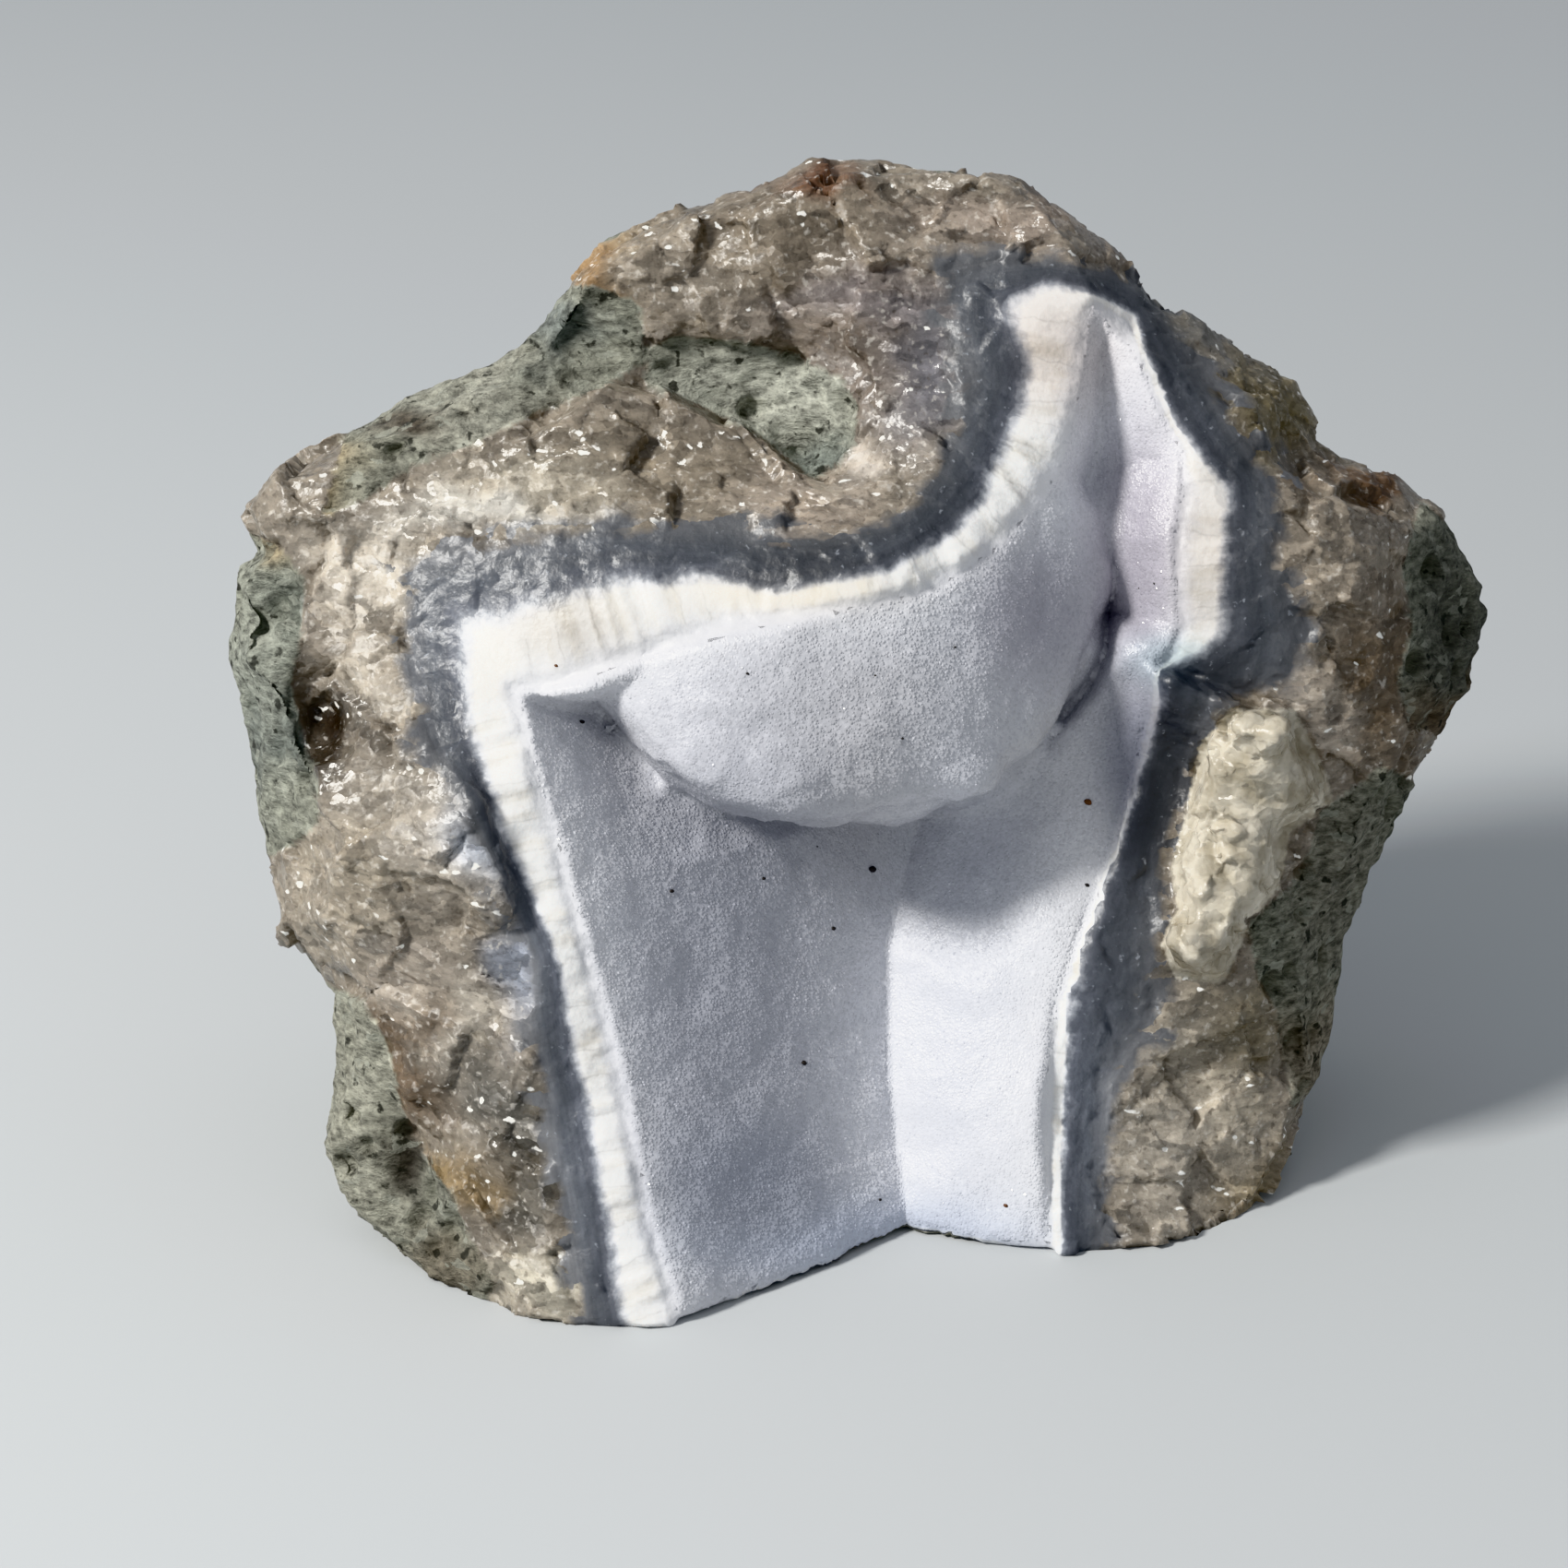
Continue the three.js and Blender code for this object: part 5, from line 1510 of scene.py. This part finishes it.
@dataclass
class SugarCrystals:
    """The tiny crystals that stand on one region of the crust, sizes in millimetres."""

    region: DruseRegion
    count: int = 19_000
    smallest: float = 0.12
    largest: float = 0.27
    tallness: float = 0.26
    sides: int = 6
    sunk: float = 0.55
    lean: float = math.radians(8)
    full_turn: float = 6.283
    shades: tuple = (0.88, 1.07)
    seed: int = 4
    draw_seeds: tuple = (0, 1, 2, 9, 11, 12)

    def build(self, crust: Piece, material: bpy.types.Material) -> Piece:
        """Grows the crystals out of the crust.

        Args:
            crust: the crust, whose points say which region they are in.
            material: the crystals' material.

        Returns:
            The crystals as one plain mesh.
        """
        piece = bpy.data.objects.new(f"sugar_crystals_{self.region.value}", crust.data.copy())
        bpy.context.scene.collection.objects.link(piece)
        grow = piece.modifiers.new("grow", "NODES")
        grow.node_group = self._tree(material)
        seed = self.seed + list(DruseRegion).index(self.region)
        values = {"Density": self.count / self._area(crust.data), "Smallest": self.smallest * MM,
                  "Largest": self.largest * MM, "Lean": self.lean, "Seed": seed}
        for item in grow.node_group.interface.items_tree:
            if item.name in values:
                grow[item.identifier] = values[item.name]
        apply_modifiers(piece)
        return piece

    def _area(self, mesh: Mesh) -> float:
        """The area of the region, in square metres."""
        points = read_points(mesh) * MM
        faces = read_triangles(mesh)
        sides = points[faces]
        areas = np.linalg.norm(np.cross(sides[:, 1] - sides[:, 0], sides[:, 2] - sides[:, 0]), axis=1) / 2
        return float((areas * read_attribute(mesh, self.region.value)[faces].mean(axis=1)).sum())

    def _tree(self, material: bpy.types.Material) -> Tree:
        """Builds the node tree that scatters the crystals."""
        tree = bpy.data.node_groups.new(f"grow_{self.region.value}", "GeometryNodeTree")
        for name, way, kind in (
                ("Geometry", "INPUT", "Geometry"), ("Density", "INPUT", "Float"),
                ("Smallest", "INPUT", "Float"), ("Largest", "INPUT", "Float"), ("Lean", "INPUT", "Float"),
                ("Seed", "INPUT", "Int"), ("Geometry", "OUTPUT", "Geometry")):
            tree.interface.new_socket(name, in_out=way, socket_type=f"NodeSocket{kind}")
        given = add_node(tree, "NodeGroupInput").outputs
        mask = add_node(tree, "GeometryNodeInputNamedAttribute", [self.region.value], data_type="FLOAT")
        density = add_node(tree, MATH, [given["Density"], mask], operation="MULTIPLY")
        spread = add_node(tree, "GeometryNodeDistributePointsOnFaces", {
            "Mesh": given["Geometry"], "Density": density, "Seed": given["Seed"]}).outputs
        crystal = add_node(tree, "GeometryNodeMeshCone", {
            "Vertices": self.sides, "Radius Top": 0, "Radius Bottom": 1, "Depth": self.tallness * 2},
            fill_type="NGON")
        crystal = add_node(tree, "GeometryNodeSetShadeSmooth", {"Geometry": crystal, "Shade Smooth": False})
        crystal = add_node(tree, "GeometryNodeTransform", {
            "Geometry": crystal, "Translation": (0, 0, -self.sunk * self.tallness)})
        back = add_node(tree, MATH, [given["Lean"], -1], operation="MULTIPLY")
        ranges = ((back, given["Lean"]), (back, given["Lean"]), (0, self.full_turn),
                  (given["Smallest"], given["Largest"]), self.shades, (0, 1))
        turn_a, turn_b, turn_c, size, shade, luck = (
            add_node(tree, "FunctionNodeRandomValue", {"Min": low, "Max": high, "Seed": seed},
                     data_type="FLOAT")
            for (low, high), seed in zip(ranges, self.draw_seeds))
        turn = add_node(tree, "ShaderNodeCombineXYZ", [turn_a, turn_b, turn_c])
        own_turn = add_node(tree, "FunctionNodeEulerToRotation", [turn])
        rotation = add_node(tree, "FunctionNodeRotateRotation", [spread["Rotation"], own_turn],
                            rotation_space="LOCAL")
        points = spread["Points"]
        for name, kind, value in (("shade", "FLOAT", shade), ("luck", "FLOAT", luck),
                                  ("ground", "FLOAT_VECTOR", spread["Normal"])):
            points = add_node(tree, "GeometryNodeStoreNamedAttribute", {
                "Geometry": points, "Name": name, "Value": value}, data_type=kind, domain="POINT")
        placed = add_node(tree, "GeometryNodeInstanceOnPoints", {
            "Points": points, "Instance": crystal, "Rotation": rotation, "Scale": size})
        real = add_node(tree, "GeometryNodeRealizeInstances", [placed])
        done = add_node(tree, "GeometryNodeSetMaterial", {"Geometry": real, "Material": material})
        add_node(tree, "NodeGroupOutput", {"Geometry": done})
        return tree


@dataclass
class OxideSpecks:
    """The dark grains that sit on the crystals."""

    form: GeodeForm
    sunk: float = 0.35
    flatness: float = 0.7
    lumpiness: float = 0.18
    lump_size: float = 1.7
    lump_stretch: float = 3
    lump_shift: float = 10
    side_from: tuple = (0.3, 0.2, 0.9)
    ray_lead: float = 2
    ray_end: float = 40
    ray_step: float = 0.05
    probe: float = 0.3

    def build(self, rusty: bool) -> Piece:
        """Builds all grains of one kind as one piece.

        Args:
            rusty: whether to build the rusty grains or the black ones.

        Returns:
            The grains.
        """
        points, faces = [], []
        chosen = [speck for speck in SPECKS if speck[3] == rusty]
        for number, (a, b, half, _) in enumerate(chosen):
            middle, normal = self._seat(a, b)
            grain, grain_faces = self._grain(half, number)
            side = np.cross(normal, self.side_from)
            side /= np.linalg.norm(side)
            axes = np.stack([side, np.cross(normal, side), normal])
            faces += [[corner + sum(map(len, points)) for corner in face] for face in grain_faces]
            points.append(middle + (grain + (0, 0, (self.flatness - self.sunk) * half)) @ axes)
        name = "rusty_specks" if rusty else "black_specks"
        piece = make_mesh(name, np.concatenate(points), faces)
        piece.data.materials.append(OxideFinish().material(rusty))
        return piece

    def _seat(self, a: float, b: float) -> tuple[Array, Array]:
        """The first point of the surface behind a face point, and its outward normal."""
        ray = np.arange(self.form.face_front - self.ray_lead, self.ray_end, self.ray_step)
        line = np.stack([np.full_like(ray, a), np.full_like(ray, b), ray], axis=1)
        seat = line[np.argmax(self.form.solid(line) > 0)]
        probes = seat + self.probe * np.concatenate([np.eye(3), -np.eye(3)])
        values = self.form.solid(probes)
        tip = self.form.eye.to_part(np.stack([seat, seat - (values[:3] - values[3:])]))
        normal = tip[1] - tip[0]
        return tip[0], normal / np.linalg.norm(normal)

    def _grain(self, half: float, number: int) -> tuple[Array, list]:
        """A lumpy grain, longer than wide, and its faces."""
        ball = bmesh.new()
        bmesh.ops.create_icosphere(ball, subdivisions=2, radius=1)
        points = np.array([corner.co[:] for corner in ball.verts])
        faces = [[corner.index for corner in face.verts] for face in ball.faces]
        ball.free()
        place = points * self.lump_stretch + self.lump_shift * number
        points *= (1 + self.lumpiness * noise(place, self.lump_size))[:, None]
        return points * half * (1, self.flatness, self.flatness), faces


@dataclass
class Studio:
    """A plain pale floor, soft light from the left, and the camera."""

    eye: Eye
    floor_half_width: float = 3.0
    sensor: float = 36.0
    key_place: tuple[float, float, float] = (-0.62, -0.36, 0.62)
    key_target: tuple[float, float, float] = (0, 0, 0.04)
    key_size: float = 0.16
    key_power: float = 11.4
    key_colour: str = "#fffdf8"
    sky: str = "#cdd1d6"
    sky_strength: float = 0.78

    def build(self) -> None:
        """Sets up the floor, the light, the world and the camera."""
        half = self.floor_half_width / MM
        corners = np.array([(-half, -half, 0), (half, -half, 0), (half, half, 0), (-half, half, 0)], float)
        floor = make_mesh("floor", corners, [[0, 1, 2, 3]])
        floor.data.materials.append(PlainFloorFinish().material())
        self._light()
        world = bpy.data.worlds.new("studio")
        world.use_nodes = True
        world.node_tree.nodes["Background"].inputs["Color"].default_value = rgba(self.sky)
        world.node_tree.nodes["Background"].inputs["Strength"].default_value = self.sky_strength
        bpy.context.scene.world = world
        bpy.context.scene.view_settings.view_transform = "Khronos PBR Neutral"
        self._camera()

    def _light(self) -> None:
        """Adds the square soft light that looks at the geode."""
        data = bpy.data.lights.new("key", "AREA")
        data.size = self.key_size
        data.energy = self.key_power
        data.color = to_linear(self.key_colour)
        light = bpy.data.objects.new("key", data)
        light.location = self.key_place
        aim = Vector(self.key_target) - light.location
        light.rotation_euler = aim.to_track_quat("-Z", "Y").to_euler()
        bpy.context.scene.collection.objects.link(light)

    def _camera(self) -> None:
        """Adds the camera at the eye that the face is described from."""
        data = bpy.data.cameras.new("camera")
        data.sensor_width = self.sensor
        data.lens = self.sensor * self.eye.distance / self.eye.view_width
        camera = bpy.data.objects.new("camera", data)
        target = Vector((*self.eye.to_part(np.zeros((1, 3)))[0],)) * MM
        back = Vector((0, -math.cos(self.eye.elevation), math.sin(self.eye.elevation)))
        camera.location = target + back * self.eye.distance * MM
        camera.rotation_euler = (-back).to_track_quat("-Z", "Y").to_euler()
        bpy.context.scene.collection.objects.link(camera)
        bpy.context.scene.camera = camera


def ride_and_report(piece: Piece) -> None:
    """Makes a piece ride on the stone, and reports it."""
    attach(piece, "root")
    log.info("%s has %d triangles", piece.name, count_triangles(piece.data))


def main() -> None:
    """Builds and dresses the geode and its studio, piece by piece."""
    logging.basicConfig(level=logging.INFO, format="%(name)s: %(message)s")
    form = GeodeForm()
    Studio(form.eye).build()
    pieces = Geode(form).build()
    finish = BandedStoneFinish().material()
    sugar = DruseFinish().material()
    for region in DruseRegion:
        crystals = SugarCrystals(region).build(pieces["druse_crust"], sugar)
        ride_and_report(crystals)
    for node, piece in pieces.items():
        piece.data.materials.append(finish)
        ride_and_report(piece)
        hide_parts(node)
    for rusty in (False, True):
        ride_and_report(OxideSpecks(form).build(rusty))


if __name__ == "__main__":
    main()
